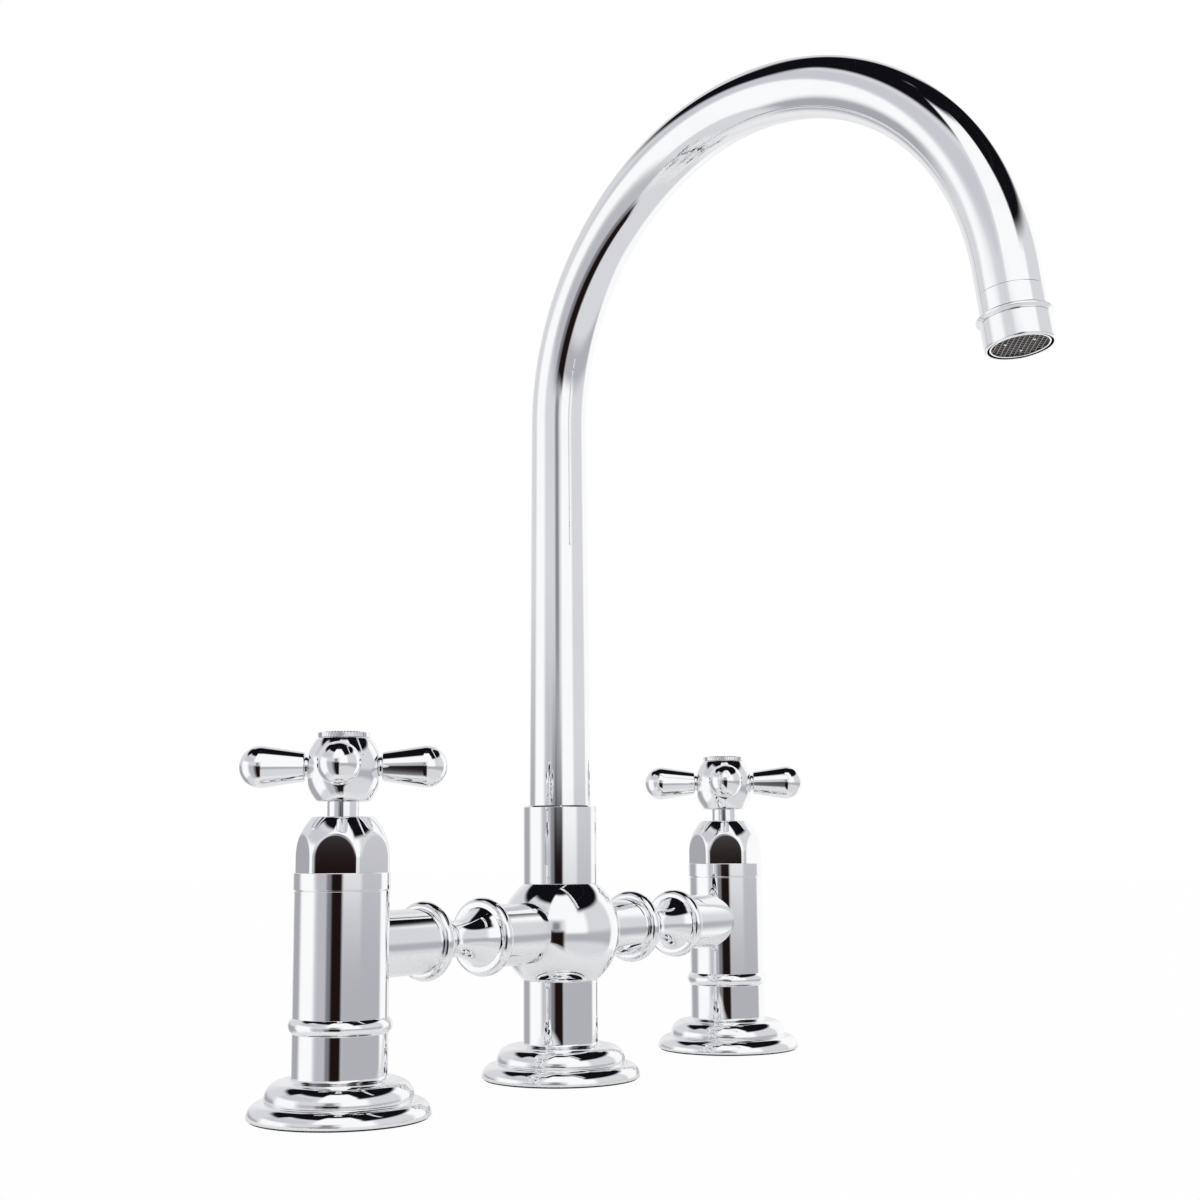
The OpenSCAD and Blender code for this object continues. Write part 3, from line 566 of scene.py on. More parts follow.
# Handles: four arms round a bulging hub with as many flats, a ridged button on it and a plain sleeve below
cross = {
    "arms": 4,
    "armZ": 99.0,
    "ridges": 48,
}
hub = {
    "low": 88.9,
    "top": 107.4,
    "radius": 11.05,
    "side": 14.0,
    "flats": {"count": 4, "distance": 10.2, "turn": 0.0, "ease": 0.3},
    "rimEase": 0.45,
    "rimCorner": 0.12,
    "rimDrop": 0.1,
    "rimAngle": 1.6,
    "wellRadius": 4.2,
    "wellFloor": 102.8,
    "screwHole": 2.1,
    "webHeight": 2.2,
    "bore": 4.0,
    "around": 288,
}
stem = {
    "bore": 4.05,
    "radius": 4.6,
    "low": 80.5,
    "ease": 0.1,
    "around": 96,
}


def hubShell(low, top, radius, side, flats, rimEase, rimCorner, rimDrop, rimAngle, wellRadius, wellFloor,
             screwHole, webHeight, bore, around):
    middle, inset = (low + top) / 2, radius - side
    lean = math.degrees(math.asin((top - middle) / side))
    rim = inset + side * math.cos(math.radians(lean))
    rows = [(bore, low), (rim - rimEase, low), (rim - rimCorner, low + rimDrop)]
    first = len(rows)
    rows += arc(inset, middle, side, -lean + rimAngle, lean - rimAngle, 90)
    last = len(rows) - 1
    web = wellFloor - webHeight
    rows += [(rim - rimCorner, top - rimDrop), (rim - rimEase, top), (wellRadius, top)]
    rows += [(wellRadius, wellFloor), (screwHole, wellFloor), (screwHole, web), (bore, web), (bore, low)]
    return spun(rows, False, around, flats, first, last)


# Arms: a neck at the hub's flat, then a cone that ends in a ball, and a tenon inside the hub
arm = {
    "neck": 3.0,
    "neckLength": 1.0,
    "root": 4.2,
    "tip": 6.1,
    "reach": 30.0,
    "tenonLength": 3.8,
    "tenonStep": 0.6,
    "ease": 0.3,
    "around": 72,
}


def armShell(start, neck, neckLength, root, tip, reach, tenonLength, tenonStep, ease, around):
    tenon, taper, tipZ = neck - tenonStep, start + neckLength, reach - tip
    slope = math.asin((tip - root) / (tipZ - taper))
    points = [(0.0, start - tenonLength), (tenon, start - tenonLength), (tenon, start), (neck, start)]
    points += [(neck, taper), (root, taper), (tip * math.cos(slope), tipZ - tip * math.sin(slope))]
    points = soften(points, ease)
    points += arc(0, tipZ, tip, -math.degrees(slope), 90, 40)[1:-1] + [(0.0, reach)]
    return spun(points, False, around)


# A Geometry Nodes group with named inputs, each given by its default or else by its kind
def newTree(name, inputs):
    tree = bpy.data.node_groups.new(name, "GeometryNodeTree")
    for label, value in [*inputs.items(), ("Material", "NodeSocketMaterial")]:
        kind = {int: "NodeSocketInt", float: "NodeSocketFloat"}.get(type(value), value)
        socket = tree.interface.new_socket(label, in_out="INPUT", socket_type=kind)
        if kind != value:
            socket.default_value = value
    tree.interface.new_socket("Geometry", in_out="OUTPUT", socket_type="NodeSocketGeometry")
    graph = Graph(tree)
    given = graph.node("NodeGroupInput")
    return graph, {socket.name: Sock(graph, socket) for socket in given.outputs if socket.name}


def finishTree(graph, geometry, material):
    real = graph.add("GeometryNodeRealizeInstances", {"Geometry": geometry})
    painted = graph.add("GeometryNodeSetMaterial", {"Geometry": real, "Material": material})
    graph.node("NodeGroupOutput", [painted])
    return graph.tree


# Geometry Nodes: copies of what comes in, turned evenly about the piece's own axis
def ringTree():
    graph, given = newTree("copiesInRing", {"Geometry": "NodeSocketGeometry", "Count": 4, "Height": 0.0})
    spot = graph.add("ShaderNodeCombineXYZ", {2: given["Height"]})
    inputs = {"Count": given["Count"], "Start Location": spot, "Offset": (0.0, 0.0, 0.0)}
    line = graph.add("GeometryNodeMeshLine", inputs, {"mode": "OFFSET"})
    angle = graph.add("GeometryNodeInputIndex") * (2 * math.pi) / given["Count"]
    turn = graph.add("ShaderNodeCombineXYZ", {2: angle})
    copies = {"Points": line, "Instance": given["Geometry"], "Rotation": turn}
    return finishTree(graph, graph.add("GeometryNodeInstanceOnPoints", copies), given["Material"])


# Runs a Geometry Nodes group on a mesh and keeps the result; lengths are given in mm
def grown(name, tree, inputs, base=None):
    holder = linked(name + "Holder", base or bpy.data.meshes.new(name + "Empty"))
    modifier = holder.modifiers.new("grow", "NODES")
    modifier.node_group = tree
    for item in tree.interface.items_tree:
        if item.item_type == "SOCKET" and item.in_out == "INPUT" and item.name in inputs:
            value = inputs[item.name]
            modifier[item.identifier] = value * mm if isinstance(value, float) else value
    bpy.context.view_layer.update()
    evaluated = holder.evaluated_get(bpy.context.evaluated_depsgraph_get())
    mesh = bpy.data.meshes.new_from_object(evaluated)
    mesh.name = name
    holder.modifiers.remove(modifier)
    bpy.data.objects.remove(holder)
    return linked(name, mesh)


def moveMesh(made, matrix):
    scaled = matrix.copy()
    scaled.translation = scaled.translation * mm
    made.data.transform(scaled)
    return made


ring = ringTree()
inputs = {"Count": cross["arms"], "Height": cross["armZ"], "Material": chrome}
for side, x in valves.items():
    spot = at(x, turn=turns[side])
    piece(side + "HandleHub", hubShell(**hub).moved(spot), side + "_handle_hub")
    oneArm = meshFrom("oneArm", armShell(hub["flats"]["distance"], **arm).moved(alongX), chrome)
    arms = grown(side + "HandleArms", ring, inputs, oneArm)
    seat(moveMesh(arms, spot), side + "_handle_arms")
    piece(side + "StemSleeve", plainRing(top=hub["low"], **stem).moved(spot), side + "_stem_sleeve")

# Buttons: a plate on a peg, with a shallow groove in its face and ridges round its edge
button = {
    "radius": 7.6,
    "height": 1.6,
    "peg": 4.15,
    "pegLength": 1.6,
    "edge": 0.4,
    "grooveInset": 1.0,
    "grooveWidth": 0.9,
    "grooveSlope": 0.2,
    "grooveDepth": 0.15,
    "ease": 0.12,
}
ridge = {
    "depth": 0.35,
    "root": 0.15,
    "peak": 0.06,
    "width": 0.62,
    "crest": 0.22,
    "low": 0.1,
    "high": 1.35,
    "slope": 0.2,
}


def buttonShell(low, depth, radius, height, peg, pegLength, edge, grooveInset, grooveWidth, grooveSlope,
                grooveDepth, ease):
    high, core = low + height, radius - depth
    outer, inner = core - grooveInset, core - grooveInset - grooveWidth
    points = [(0.0, low - pegLength), (peg, low - pegLength), (peg, low), (core, low), (core, high - edge)]
    points += [(core - edge, high), (outer, high), (outer - grooveSlope, high - grooveDepth)]
    points += [(inner + grooveSlope, high - grooveDepth), (inner, high), (0.0, high)]
    return spun(soften(points, ease))


def ridgeShell(radius, depth, root, peak, width, crest, low, high, slope):
    core, tip, half = radius - depth - root, radius - peak, width / 2
    section = [(core, -half), (tip, -half * crest), (tip, half * crest), (core, half)]
    points = [(x, y, z) for z in (low, high) for x, y in section]
    points += [(x - slope if x > core else x, y, high + slope) for x, y in section]
    faces = []
    for base in (0, 4):
        for j, m in ((0, 1), (1, 2), (2, 3), (3, 0)):
            faces.append((base + j, base + m, base + 4 + m, base + 4 + j))
    return Shell(points, faces + [(3, 2, 1, 0), (8, 9, 10, 11)])


def joined(name, objects):
    bpy.ops.object.select_all(action="DESELECT")
    for made in objects:
        made.select_set(True)
    bpy.context.view_layer.objects.active = objects[0]
    bpy.ops.object.join()
    objects[0].name = name
    return objects[0]


for side, x in valves.items():
    spot = at(x, turn=turns[side])
    plateShell = buttonShell(hub["top"], ridge["depth"], **button).moved(spot)
    plate = linked(side + "ButtonPlate", meshFrom("buttonPlate", plateShell, materials["button_metal"]))
    oneRidge = meshFrom("oneRidge", ridgeShell(button["radius"], **ridge), chrome)
    inputs = {"Count": cross["ridges"], "Height": hub["top"], "Material": chrome}
    ridges = moveMesh(grown(side + "ButtonRidges", ring, inputs, oneRidge), spot)
    seat(joined(side + "IndexButton", [plate, ridges]), side + "_button")
print("handles made")

# Bridge arms: a tube from the pillar, two rings with a concave waist between them, a tube to the ball
bridge = {
    "tube": 9.8,
    "outerRing": 12.0,
    "innerRing": 12.3,
    "outerX": 34.7,
    "innerX": 61.8,
    "halfRing": 2.0,
    "waist": 5.6,
    "flare": 9.3,
    "bore": 4.0,
    "plug": 3.0,
    "saddleReach": 6.0,
    "lap": 0.3,
    "ease": 0.12,
    "around": 144,
}


def ringArc(half, radius, x):
    r = radius - half
    return [(r, x - half)] + arc(r, x, half, -90, 90, 18)[1:-1] + [(r, x + half)]


def bridgeShell(pillarRadius, ball, span, tube, outerRing, innerRing, outerX, innerX, halfRing, waist, flare,
                bore, plug, saddleReach, lap, ease, around):
    low, high = outerX + halfRing, innerX - halfRing
    half, depth = (high - low) / 2, flare - waist
    hollow = (half ** 2 + depth ** 2) / (2 * depth)
    sweep = math.degrees(math.asin(half / hollow))
    start, end = pillarRadius - plug, span - math.sqrt(ball ** 2 - tube ** 2) + lap
    points = [(bore, start), (tube, start), (tube, pillarRadius + saddleReach), (tube, outerX - halfRing)]
    points += ringArc(halfRing, outerRing, outerX)
    points += arc(waist + hollow, low + half, hollow, 180 + sweep, 180 - sweep, 40)
    points += ringArc(halfRing, innerRing, innerX)
    points += [(tube, innerX + halfRing), (tube, end), (bore, end)]
    shell = turnedRing(points, around, ease, 50)
    for i, (px, py, pz) in enumerate(shell.points):
        if pz < start + 0.1 and math.hypot(px, py) > bore + 1:
            pz = math.sqrt(pillarRadius ** 2 - py ** 2) - lap   # the saddle that meets the pillar
            shell.points[i] = (px, py, pz)
    return shell


for side, x in valves.items():
    lay = at(x, z=layout["bridgeZ"], turn=0 if side == "hot" else 180) @ alongX
    shell = bridgeShell(pillar["radius"], layout["ball"], feet["cold"], **bridge)
    piece(side + "BridgeArm", shell.moved(lay), side + "_bridge_arm")
print("bridge made")

# The hollow ball, the column under it and the collar nut on it, which meet at ballLow and ballTop
ball = {
    "studHole": 5.1,
    "recess": 9.45,
    "recessDepth": 1.5,
    "socket": 8.0,
    "socketFloor": 40.5,
    "mouth": 11.0,
    "mouthDepth": 9.8,
    "ease": 0.15,
    "around": 192,
}
column = {
    "radius": 12.4,
    "low": 8.8,
    "spigotStep": 0.8,
    "studHole": 5.3,
    "recess": 9.4,
    "recessDepth": 1.4,
    "ease": 0.22,
    "around": 144,
}
collar = {
    "radius": 12.25,
    "bore": 11.05,
    "lipBore": 10.5,
    "lipLow": 88.2,
    "edge": 0.5,
    "ease": 0.22,
    "around": 144,
}
ballTop = layout["bridgeZ"] + math.sqrt(layout["ball"] ** 2 - collar["radius"] ** 2)
ballLow = layout["bridgeZ"] - math.sqrt(layout["ball"] ** 2 - column["radius"] ** 2)


def ballShell(radius, middle, studHole, recess, recessDepth, socket, socketFloor, mouth, mouthDepth, ease,
              around):
    lowAngle, topAngle = (math.degrees(math.asin((z - middle) / radius)) for z in (ballLow, ballTop))
    floor, shelf = ballLow + recessDepth, ballTop + mouthDepth
    points = [(studHole, floor), (recess, floor), (recess, ballLow)]
    points += arc(0, middle, radius, lowAngle, topAngle, 80)
    points += [(mouth, ballTop), (mouth, shelf), (socket, shelf)]
    points += [(socket, socketFloor), (studHole, socketFloor)]
    return turnedRing(points, around, ease, 30)


def columnShell(foot, coveSize, radius, low, spigotStep, studHole, recess, recessDepth, ease, around):
    spigot, floor = radius - spigotStep, ballLow + recessDepth
    points = [(studHole, low), (spigot, low), (spigot, foot)] + cove(radius, foot, coveSize)
    points += [(radius, ballLow), (recess, ballLow), (recess, floor), (studHole, floor)]
    return turnedRing(points, around, ease, 40)


def collarShell(top, radius, bore, lipBore, lipLow, edge, ease, around):
    points = [(bore, ballTop), (radius, ballTop), (radius, top - edge), (radius - edge, top)]
    points += [(lipBore, top), (lipBore, lipLow), (bore, lipLow)]
    return turnedRing(points, around, ease, 30)


piece("bridgeBall", ballShell(layout["ball"], layout["bridgeZ"], **ball), "bridge_ball")
piece("centreColumn", columnShell(layout["foot"], layout["cove"], **column), "centre_column")
piece("spoutCollar", collarShell(layout["collarTop"], **collar), "spout_collar")
print("centre made")

# The swan neck: a tube that tapers up to the bend and keeps one radius from there
spout = {
    "baseRadius": 10.2,
    "radius": 9.3,
    "bore": 8.1,
    "low": 77.56,
    "bendZ": 218.68,
    "bendRadius": 90.5,
    "bendAngle": 171.7,
    "tail": 7.2,
    "endEase": 0.15,
    "endInset": 0.12,
    "taperSteps": 13,
    "bendSteps": 180,
    "around": 96,
}


def spoutShell(collarTop, baseRadius, radius, bore, low, bendZ, bendRadius, bendAngle, tail, endEase,
               endInset, taperSteps, bendSteps, around):
    stations = []   # centre point, direction, radius and lean of the wall
    taper = math.atan2(baseRadius - radius, bendZ - collarTop)
    for z in (low, collarTop - 0.5):
        stations.append(((0, 0, z), (0, 0, 1), baseRadius, 0.0))
    for t in np.linspace(0, 1, taperSteps + 1):
        spot = (0, 0, collarTop + (bendZ - collarTop) * t)
        lean = taper if 0 < t < 1 else taper * 0.5
        stations.append((spot, (0, 0, 1), baseRadius + (radius - baseRadius) * t, lean))
    for a in np.linspace(0, math.radians(bendAngle), bendSteps + 1)[1:]:
        spot = (0, bendRadius * (math.cos(a) - 1), bendZ + bendRadius * math.sin(a))
        stations.append((spot, (0, -math.sin(a), math.cos(a)), radius, 0.0))
    end, endWay = np.array(stations[-1][0]), np.array(stations[-1][1])
    stations.append((end + endWay * (tail - endEase), endWay, radius, 0.0))
    stations.append((end + endWay * tail, endWay, radius - endInset, 0.0))
    angles = np.linspace(0, 2 * math.pi, around, endpoint=False)
    sideways = np.array([1.0, 0.0, 0.0])
    rings, normals = [], []
    for isBore, walk in ((False, stations), (True, reversed(stations))):
        for spot, way, wall, lean in walk:
            way = np.array(way, float)
            out = np.outer(np.cos(angles), sideways) + np.outer(np.sin(angles), np.cross(way, sideways))
            rings.append(np.array(spot) + out * (bore if isBore else wall))
            normals.append(-out if isBore else out * math.cos(lean) + way * math.sin(lean))
    before, after = list(normals), list(normals)
    split = len(stations)
    after[split - 1] = before[split] = np.tile(endWay, (around, 1))
    after[-1] = before[0] = np.tile([0.0, 0.0, -1.0], (around, 1))
    return ringShell(rings, before, after, True)


swing = at(turn=layout["spoutTurn"])
piece("swanNeck", spoutShell(layout["collarTop"], **spout).moved(swing), "spout_tube")
bendEnd = math.radians(spout["bendAngle"])
outletY = spout["bendRadius"] * (math.cos(bendEnd) - 1)
outletZ = spout["bendZ"] + spout["bendRadius"] * math.sin(bendEnd)
outletWay = swing @ Matrix.Translation((0, outletY, outletZ)) @ Matrix.Rotation(bendEnd, 4, "X")

# The outlet, measured from the end of the bend: plain sleeve, the aerator's housing and its insert
sleeve = {
    "depth": 5.0,
    "plugBore": 6.6,
    "plug": 8.05,
    "lipRadius": 10.7,
    "lipWidth": 1.9,
    "lipRise": 0.66,
    "lipFall": 1.23,
    "foot": 0.2,
    "seat": 8.3,
    "seatDepth": 9.6,
    "ease": 0.15,
}
housing = {
    "radius": 9.75,
    "end": 22.9,
    "bore": 8.95,
    "thread": 8.25,
    "threadBore": 7.1,
    "threadTop": 10.8,
    "shoulder": 0.2,
    "chamfer": 0.3,
    "endRound": 0.5,
    "ease": 0.1,
}
insert = {
    "radius": 8.35,
    "rim": 8.9,
    "rimDepth": 1.2,
    "bore": 7.0,
    "ease": 0.12,
}
outlet = {
    "lip": 15.2,
    "lap": 0.05,
    "housingFloor": 1.0,
    "insertEnd": 0.2,
    "mesh": 7.8,
    "meshDepth": 21.8,
    "around": 128,
}


def sleeveShell(tail, lip, lap, around, tube, depth, plugBore, plug, lipRadius, lipWidth, lipRise, lipFall,
                foot, seat, seatDepth, ease):
    start, end, low = tail - depth, tail + lap, lip - lipWidth
    points = [(plugBore, start), (plug, start), (plug, end), (tube, end), (tube, low)]
    points += [(lipRadius, low + lipRise), (lipRadius, low + lipFall), (tube + foot, lip)]
    points += [(seat, lip), (seat, seatDepth), (plugBore, seatDepth)]
    return turnedRing(points, around, ease)


def housingShell(lip, lap, floor, around, radius, end, bore, thread, threadBore, threadTop, shoulder, chamfer,
                 endRound, ease):
    start, shelf = lip + lap, lip + floor
    points = [(threadBore, threadTop), (thread, threadTop), (thread, start), (radius - shoulder, start)]
    points += [(radius, lip + chamfer), (radius, end - 0.6)]
    points += arc(radius - endRound, end - endRound, endRound, 0, 90, 8)[1:]
    points += [(bore, end), (bore, shelf), (threadBore, shelf)]
    return turnedRing(points, around, ease, 40)


def insertShell(top, end, meshRadius, meshDepth, around, radius, rim, rimDepth, bore, ease):
    points = [(bore, top), (rim, top), (rim, top + rimDepth), (radius, top + rimDepth), (radius, end)]
    points += [(meshRadius, end), (meshRadius, meshDepth), (bore, meshDepth)]
    return turnedRing(points, around, ease)


lip, lap, floor, around = (outlet[key] for key in ("lip", "lap", "housingFloor", "around"))
shell = sleeveShell(spout["tail"], lip, lap, around, spout["radius"], **sleeve)
piece("outletSleeve", shell.moved(outletWay), "outlet_sleeve")
shell = housingShell(lip, lap, floor, around, **housing)
piece("aeratorHousing", shell.moved(outletWay), "aerator_housing")
insertEnd, meshHole = housing["end"] - outlet["insertEnd"], outlet["mesh"] + lap
shell = insertShell(lip + floor, insertEnd, meshHole, outlet["meshDepth"], around, **insert)
piece("aeratorCup", shell.moved(outletWay), "aerator_insert", chrome)   # shows bright round the mesh

# The aerator's mesh: a weave over a near-black disc of painted shade, with three bright dots on it
strainer = {
    "pitch": 1.35,
    "wire": 0.15,
    "lift": 0.28,
    "shadeDisc": 0.12,
    "shadeDiscEase": 0.03,
    "dots": 3,
    "dotRadius": 0.42,
    "dotReach": 4.5,
    "dotTurn": 90.0,
    "dotLift": 0.35,
}


# Geometry Nodes: two layers of parallel wires cut to a round mouth
def weaveTree():
    inputs = {"Radius": 0.0078, "Pitch": 0.0006, "Wire": 0.00013, "Height": 0.0}
    graph, given = newTree("wovenDisc", inputs)
    radius, pitch, wire, height = (given[label] for label in inputs)
    steps = (radius / pitch).maths("FLOOR")
    both = graph.node("GeometryNodeJoinGeometry")
    for angle, lift in ((math.pi * 0.25, -0.8), (math.pi * 0.75, 0.8)):   # lift in wire radii
        offset = (graph.add("GeometryNodeInputIndex") - steps) * pitch
        reach = (radius * radius - offset * offset).maths("MAXIMUM", 0.0).maths("SQRT")
        places = {0: offset * -math.sin(angle), 1: offset * math.cos(angle), 2: height + wire * lift}
        spot = graph.add("ShaderNodeCombineXYZ", places)
        inputs = {"Count": steps * 2 + 1, "Offset": (0.0, 0.0, 0.0)}
        line = graph.add("GeometryNodeMeshLine", inputs, {"mode": "OFFSET"})
        moved = graph.add("GeometryNodeSetPosition", {"Geometry": line, "Position": spot})
        rod = {"Vertices": 6, "Radius": wire, "Depth": 2.0}
        one = graph.add("GeometryNodeMeshCylinder", rod, {"fill_type": "NGON"})
        size = graph.add("ShaderNodeCombineXYZ", [1.0, 1.0, reach])
        copies = {"Points": moved, "Instance": one, "Rotation": (0.0, math.pi / 2, angle), "Scale": size}
        graph.link(graph.add("GeometryNodeInstanceOnPoints", copies), both, 0)
    return finishTree(graph, Sock(graph, both.outputs[0]), given["Material"])


depth = outlet["meshDepth"]
inputs = {"Radius": outlet["mesh"], "Pitch": strainer["pitch"], "Wire": strainer["wire"]}
inputs |= {"Height": depth + strainer["lift"], "Material": materials["mesh_metal"]}
weave = moveMesh(grown("aeratorWeave", weaveTree(), inputs), outletWay)
# a near-black disc just behind the weave paints the shade inside the aerator
back = depth + strainer["shadeDisc"]
points = [(0.0, depth), (outlet["mesh"], depth), (outlet["mesh"], back), (0.0, back)]
shell = spun(soften(points, strainer["shadeDiscEase"]), False, 96).moved(outletWay)
plate = linked("aeratorShadeDisc", meshFrom("aeratorShadeDisc", shell, materials["gap"]))
dots = []
for i in range(strainer["dots"]):
    spoke = math.radians(strainer["dotTurn"] + 360 * i / strainer["dots"])
    reach = strainer["dotReach"]
    lay = outletWay @ at(reach * math.cos(spoke), reach * math.sin(spoke), depth + strainer["dotLift"])
    bead = spun(arc(0, 0, strainer["dotRadius"], -90, 90, 10), False, 16).moved(lay)
    dots.append(linked("meshDot", meshFrom("meshDot", bead, chrome)))
seat(joined("aeratorMesh", [weave, plate] + dots), "aerator_mesh")
print("spout made")

# Under the deck: the keys of shank and stud are the inputs of the thread's Geometry Nodes
shank = {
    "Radius": 10.478,
    "Bore": 6.0,
    "Depth": 0.95,
    "Pitch": 1.814,
    "Low": -58.0,
    "High": 20.3,
    "Relief Low": -44.0,
    "Relief High": -42.5,
    "Relief Radius": 9.35,
    "Around": 64,
}
stud = {
    "Radius": 5.0,
    "Bore": 0.0,
    "Depth": 0.8,
    "Pitch": 1.5,
    "Low": -58.0,
    "High": 38.5,
    "Around": 40,
}
rowsPerPitch = 8


# Geometry Nodes: a screw thread with bevelled ends round a bore, as one sheet that closes on itself
def threadTree(crest=0.8, slope=2.6):
    lengths = {"Radius": 0.005, "Bore": 0.0, "Depth": 0.0008, "Pitch": 0.0015, "Low": 0.0, "High": 0.01,
               "Relief Low": 0.0, "Relief High": 0.0, "Relief Radius": 0.005}
    graph, given = newTree("screwThread", {**lengths, "Around": 48, "Rows": 80})
    radius, bore, depth, pitch, low, high, *relief = (given[label] for label in lengths)
    reliefLow, reliefHigh, reliefRadius = relief
    around, rows = given["Around"], given["Rows"]
    inputs = {"Size X": 1.0, "Size Y": 1.0, "Vertices X": around + 1, "Vertices Y": rows + 4}
    grid = graph.add("GeometryNodeMeshGrid", inputs)
    index = graph.add("GeometryNodeInputIndex")
    row = index.maths("FLOORED_MODULO", rows + 4)
    share = (index - row) / (rows + 4) / around
    climb = (row / rows).maths("MINIMUM", 1.0)
    inBore = (row > rows + 0.5) * (row < rows + 2.5)
    level = low + (high - low) * climb * (1 - (row > rows + 1.5))
    wave = (level / pitch - share).maths("FRACT")
    flank = ((wave - 0.5).maths("ABSOLUTE") * slope - crest).maths("MAXIMUM", 0.0).maths("MINIMUM", 1.0)
    root = radius - depth
    bevelled = (radius - depth * flank).maths("MINIMUM", root + (level - low))
    bevelled = bevelled.maths("MINIMUM", root + (high - level))
    inRelief = (level > reliefLow) * (level < reliefHigh)
    turned = bevelled * (1 - inRelief) + bevelled.maths("MINIMUM", reliefRadius) * inRelief
    out = turned * (1 - inBore) + bore * inBore
    angle = share * (2 * math.pi)
    spot = graph.add("ShaderNodeCombineXYZ", [out * angle.maths("COSINE"), out * angle.maths("SINE"), level])
    wrapped = graph.add("GeometryNodeSetPosition", {"Geometry": grid, "Position": spot})
    closed = graph.add("GeometryNodeMergeByDistance", {"Geometry": wrapped, "Distance": 0.000002})
    return finishTree(graph, closed, given["Material"])


def threaded(name, size, material):
    rows = round((size["High"] - size["Low"]) / size["Pitch"] * rowsPerPitch)
    made = grown(name, thread, {**size, "Rows": rows, "Material": material})
    cleaned = bmesh.new()
    cleaned.from_mesh(made.data)
    loose = [edge for edge in cleaned.edges if not edge.link_faces]
    bmesh.ops.delete(cleaned, geom=loose, context="EDGES")
    bmesh.ops.recalc_face_normals(cleaned, faces=cleaned.faces)
    cleaned.to_mesh(made.data)
    cleaned.free()
    made.data.shade_smooth()
    made.data.set_sharp_from_angle(angle=math.radians(50))
    return made


nutWidth = {"hot": 30.0, "centre": 17.0, "cold": 30.0}
nut = {
    "play": 0.05,
    "low": -40.5,
    "high": -32.5,
    "bevel": 0.62,
    "bevelRise": 0.3,
    "faceInset": 0.4,
    "faceEdge": 0.1,
    "cornerPlay": 0.05,
    "flats": {"count": 6, "turn": 30.0, "ease": 0.3},
    "around": 288,
}
washerPlay = 0.3
washer = {
    "radius": 20.0,
    "top": -30.0,
    "ease": 0.35,
    "around": 96,
}


def nutShell(rod, width, play, low, high, bevel, bevelRise, faceInset, faceEdge, cornerPlay, flats, around):
    half, bore = width / 2, rod + play
    corner = half / math.cos(math.pi / flats["count"])
    drop, outer = (corner - half) * bevel, corner + cornerPlay
    rows = [(bore, low), (half - faceInset, low), (half - faceEdge, low), (outer, low + drop)]
    rows += [(outer, low + drop + bevelRise), (outer, high - drop - bevelRise), (outer, high - drop)]
    rows += [(half - faceEdge, high), (half - faceInset, high), (bore, high), (bore, low)]
    return spun(rows, False, around, {**flats, "distance": half}, 2, 7)


thread = threadTree()
for side, x in feet.items():
    isCentre = side == "centre"
    rod, rodName = (stud, "centreStud") if isCentre else (shank, side + "InletShank")
    rodNode, nutNode = ("centre_stud", "centre_nut") if isCentre else (side + "_shank", side + "_lock_nut")
    seat(moveMesh(threaded(rodName, rod, materials[slotOfNode[rodNode]]), at(x)), rodNode)
    piece(side + "LockNut", nutShell(rod["Radius"], nutWidth[side], **nut).moved(at(x)), nutNode)
    shell = plainRing(rod["Radius"] + washerPlay, low=nut["high"], **washer)
    piece(side + "DeckWasher", shell.moved(at(x)), side + "_washer")
print("fixings made")

# The camera: place in metres, turn to the right, tilt and roll in degrees; then the plain light on everything
# that isn't polished, and what polished metal sees between the softboxes
studio = {
    "lens": 52.10,
    "spot": (-0.4625, -0.3634, 0.0766),
    "yaw": 53.20,
    "pitch": 7.96,
    "roll": -0.39,
    "fill": (0.92, 0.92, 0.92),
    "room": (0.70, 0.70, 0.72),
}
yaw, pitch, roll = (math.radians(studio[key]) for key in ("yaw", "pitch", "roll"))
gaze = Vector((math.sin(yaw) * math.cos(pitch), math.cos(yaw) * math.cos(pitch), math.sin(pitch)))
right = Vector((math.cos(yaw), -math.sin(yaw), 0.0))
up = right.cross(gaze)
tiltedRight = right * math.cos(roll) + up * math.sin(roll)
tiltedUp = up * math.cos(roll) - right * math.sin(roll)
cameraData = bpy.data.cameras.new("studioCamera")
cameraData.lens = studio["lens"]
cameraData.clip_start = 0.01
camera = linked("studioCamera", cameraData)
turnMatrix = Matrix((tiltedRight, tiltedUp, -gaze)).transposed()
camera.matrix_world = Matrix.Translation(studio["spot"]) @ turnMatrix.to_4x4()
scene.camera = camera

# The pale floor, in metres: white to the camera, with a soft shadow kept; metal sees it only near the legs
floorLook = {
    "reach": 3.0,
    "drop": 0.0001,   # a hair under the gaskets, so that the two don't share a plane
    "colour": (0.96, 0.96, 0.96),
    "roughness": 0.6,
    "whiteShare": 0.96,
    "apron": 0.05,
    "apronFade": 0.03,
}


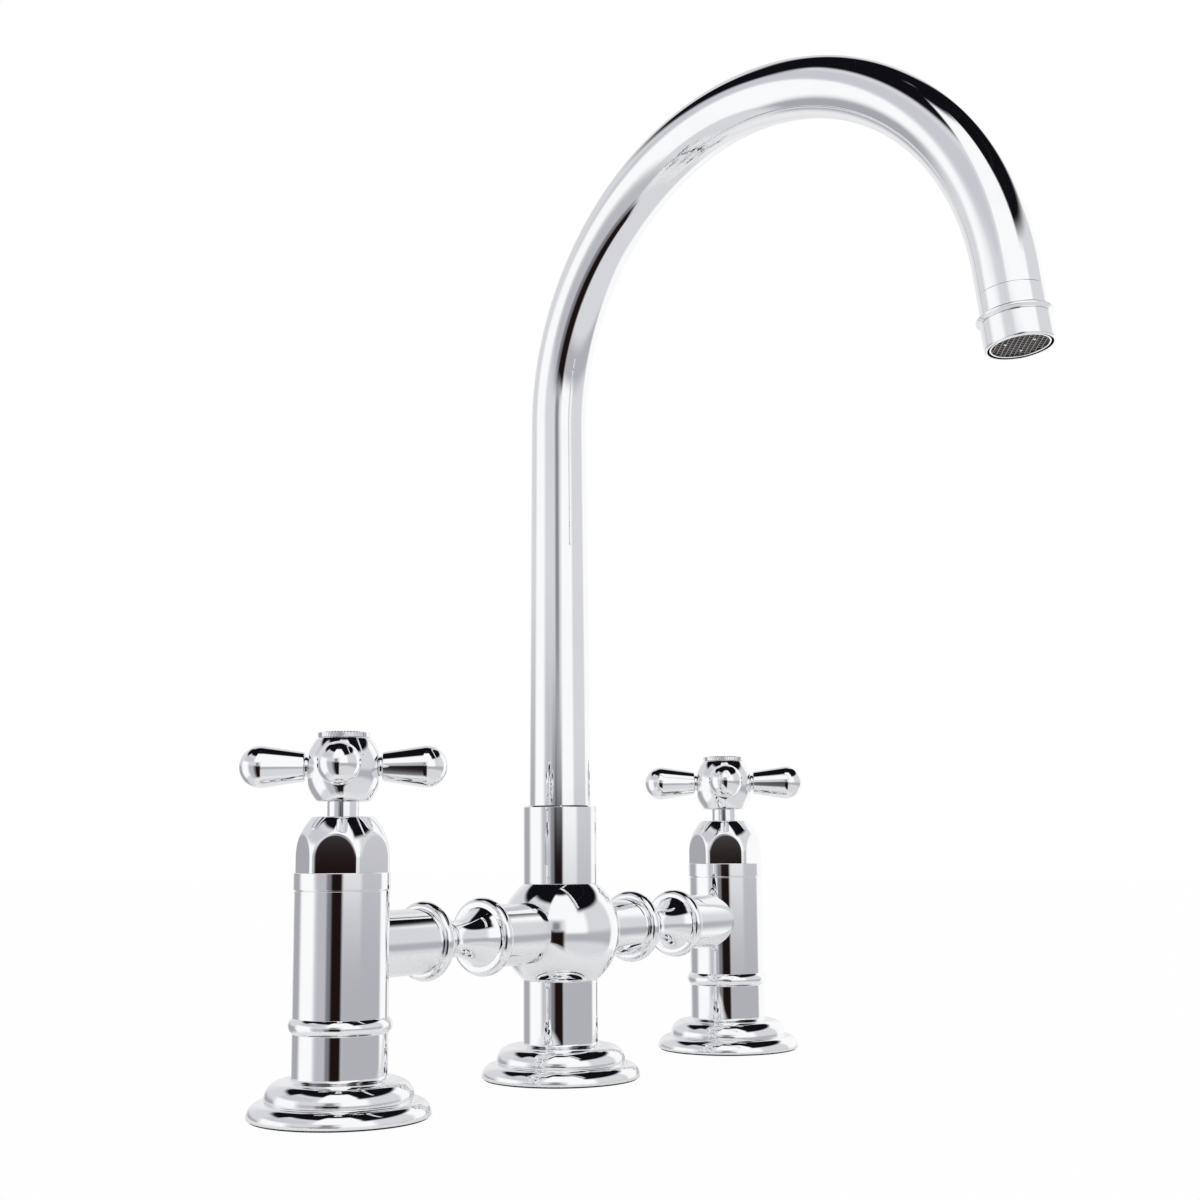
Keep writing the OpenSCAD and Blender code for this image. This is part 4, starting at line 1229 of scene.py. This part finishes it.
def makeFloor(legSpan, reach, drop, colour, roughness, whiteShare, apron, apronFade):
    mesh = bpy.data.meshes.new("paleFloor")
    corners = [(-reach, -reach), (reach, -reach), (reach, reach), (-reach, reach)]
    mesh.from_pydata([(x, y, -drop) for x, y in corners], [], [(0, 1, 2, 3)])
    material, graph, shader, spot = newMaterial("floorWhite", colour, 0.0, roughness)
    mesh.materials.append(material)
    x, y, z = graph.axes(spot)
    over = (x.maths("ABSOLUTE") - legSpan).maths("MAXIMUM", 0.0)
    away = (over * over + y * y).maths("SQRT")
    clear = graph.add("ShaderNodeMapRange", {"Value": away, "From Min": apron, "From Max": apron + apronFade})
    isCamera, isGlossy = graph.rays()
    glow = graph.add("ShaderNodeEmission", {"Color": rgba(white)})
    lit = graph.add("ShaderNodeMixShader", [isCamera * whiteShare, Sock(graph, shader.outputs[0]), glow])
    final = graph.add("ShaderNodeMixShader", [isGlossy * clear, lit, graph.add("ShaderNodeBsdfTransparent")])
    graph.link(final, graph.tree.nodes["Material Output"], "Surface")
    linked("paleFloor", mesh)


makeFloor(feet["cold"] * mm, **floorLook)

# What polished metal sees, each over those before it: from and to in degrees to the right of the camera,
# from and to in degrees up, softness of the sides, softness of top and foot, tone
dark = (0.005, 0.005, 0.007)
surroundings = {
    "behind": (160, 181, -91, 30, 8, 6, (0.85, 0.85, 0.86)),
    "behindLeft": (-181, -150, -91, 30, 14, 6, (0.85, 0.85, 0.86)),
    "leftPanel": (-150, -108, -40, 5, 10, 5, (0.40, 0.40, 0.43)),
    "leftSoftbox": (-106, -60, -38, 20, 8, 4, white),
    "frontLeftPanel": (-56, -10, -60, 6, 9, 4, (0.50, 0.50, 0.53)),
    "frontLeftShade": (-28, -10, -60, 3, 4, 5, (0.20, 0.20, 0.22)),
    "upperLeftPanel": (-104, -34, 24, 46, 5, 4, (0.60, 0.60, 0.64)),
    "rightPanel": (9, 116, -16, 0, 7, 5, (0.45, 0.45, 0.48)),
    "rightSoftbox": (10, 55, -1, 34, 6, 4, white),
    "behindRight": (116, 166, -30, 40, 6, 5, white),
    "roomAbove": (-181, 181, 55, 91, 1, 4, dark),
    "roomRight": (42, 152, 38, 60, 5, 4, dark),
    "roomLeft": (-146, -92, 40, 62, 4, 4, dark),
    "topSoftbox": (-26, 40, 24, 74, 4, 4, white),
    "cameraGap": (-17, 9, -66, 3, 4, 4, (0.012, 0.007, 0.006)),
    "cameraTop": (-14, 1, 4, 20, 5, 5, (0.25, 0.25, 0.27)),
}


def band(graph, value, low, high, soft):
    smooth = {"interpolation_type": "SMOOTHSTEP"}
    rise = {"Value": value, "From Min": low - soft, "From Max": low + soft}
    fall = {"Value": value, "From Min": high + soft, "From Max": high - soft}
    return graph.add("ShaderNodeMapRange", rise, smooth) * graph.add("ShaderNodeMapRange", fall, smooth)


world = bpy.data.worlds.new("whiteStudio")
scene.world = world
world.use_nodes = True
sky = Graph(world.node_tree)
background = world.node_tree.nodes["Background"]
dx, dy, dz = sky.axes(sky.add("ShaderNodeTexCoord"))
aside = dx * math.cos(yaw) - dy * math.sin(yaw)
toward = dx * -math.sin(yaw) - dy * math.cos(yaw)
bearing = aside.maths("ARCTAN2", toward) * (180 / math.pi)
height = dz.maths("ARCSINE") * (180 / math.pi)
seen = studio["room"]
for fromSide, toSide, fromUp, toUp, softSide, softUp, tone in surroundings.values():
    share = band(sky, bearing, fromSide, toSide, softSide) * band(sky, height, fromUp, toUp, softUp)
    seen = mixColour(sky, share, seen, tone)
isCamera, isGlossy = sky.rays()
lit = mixColour(sky, isGlossy, studio["fill"], seen)
sky.link(mixColour(sky, isCamera, lit, white), background, "Color")

scene.view_settings.view_transform = "Standard"
print("studio set")
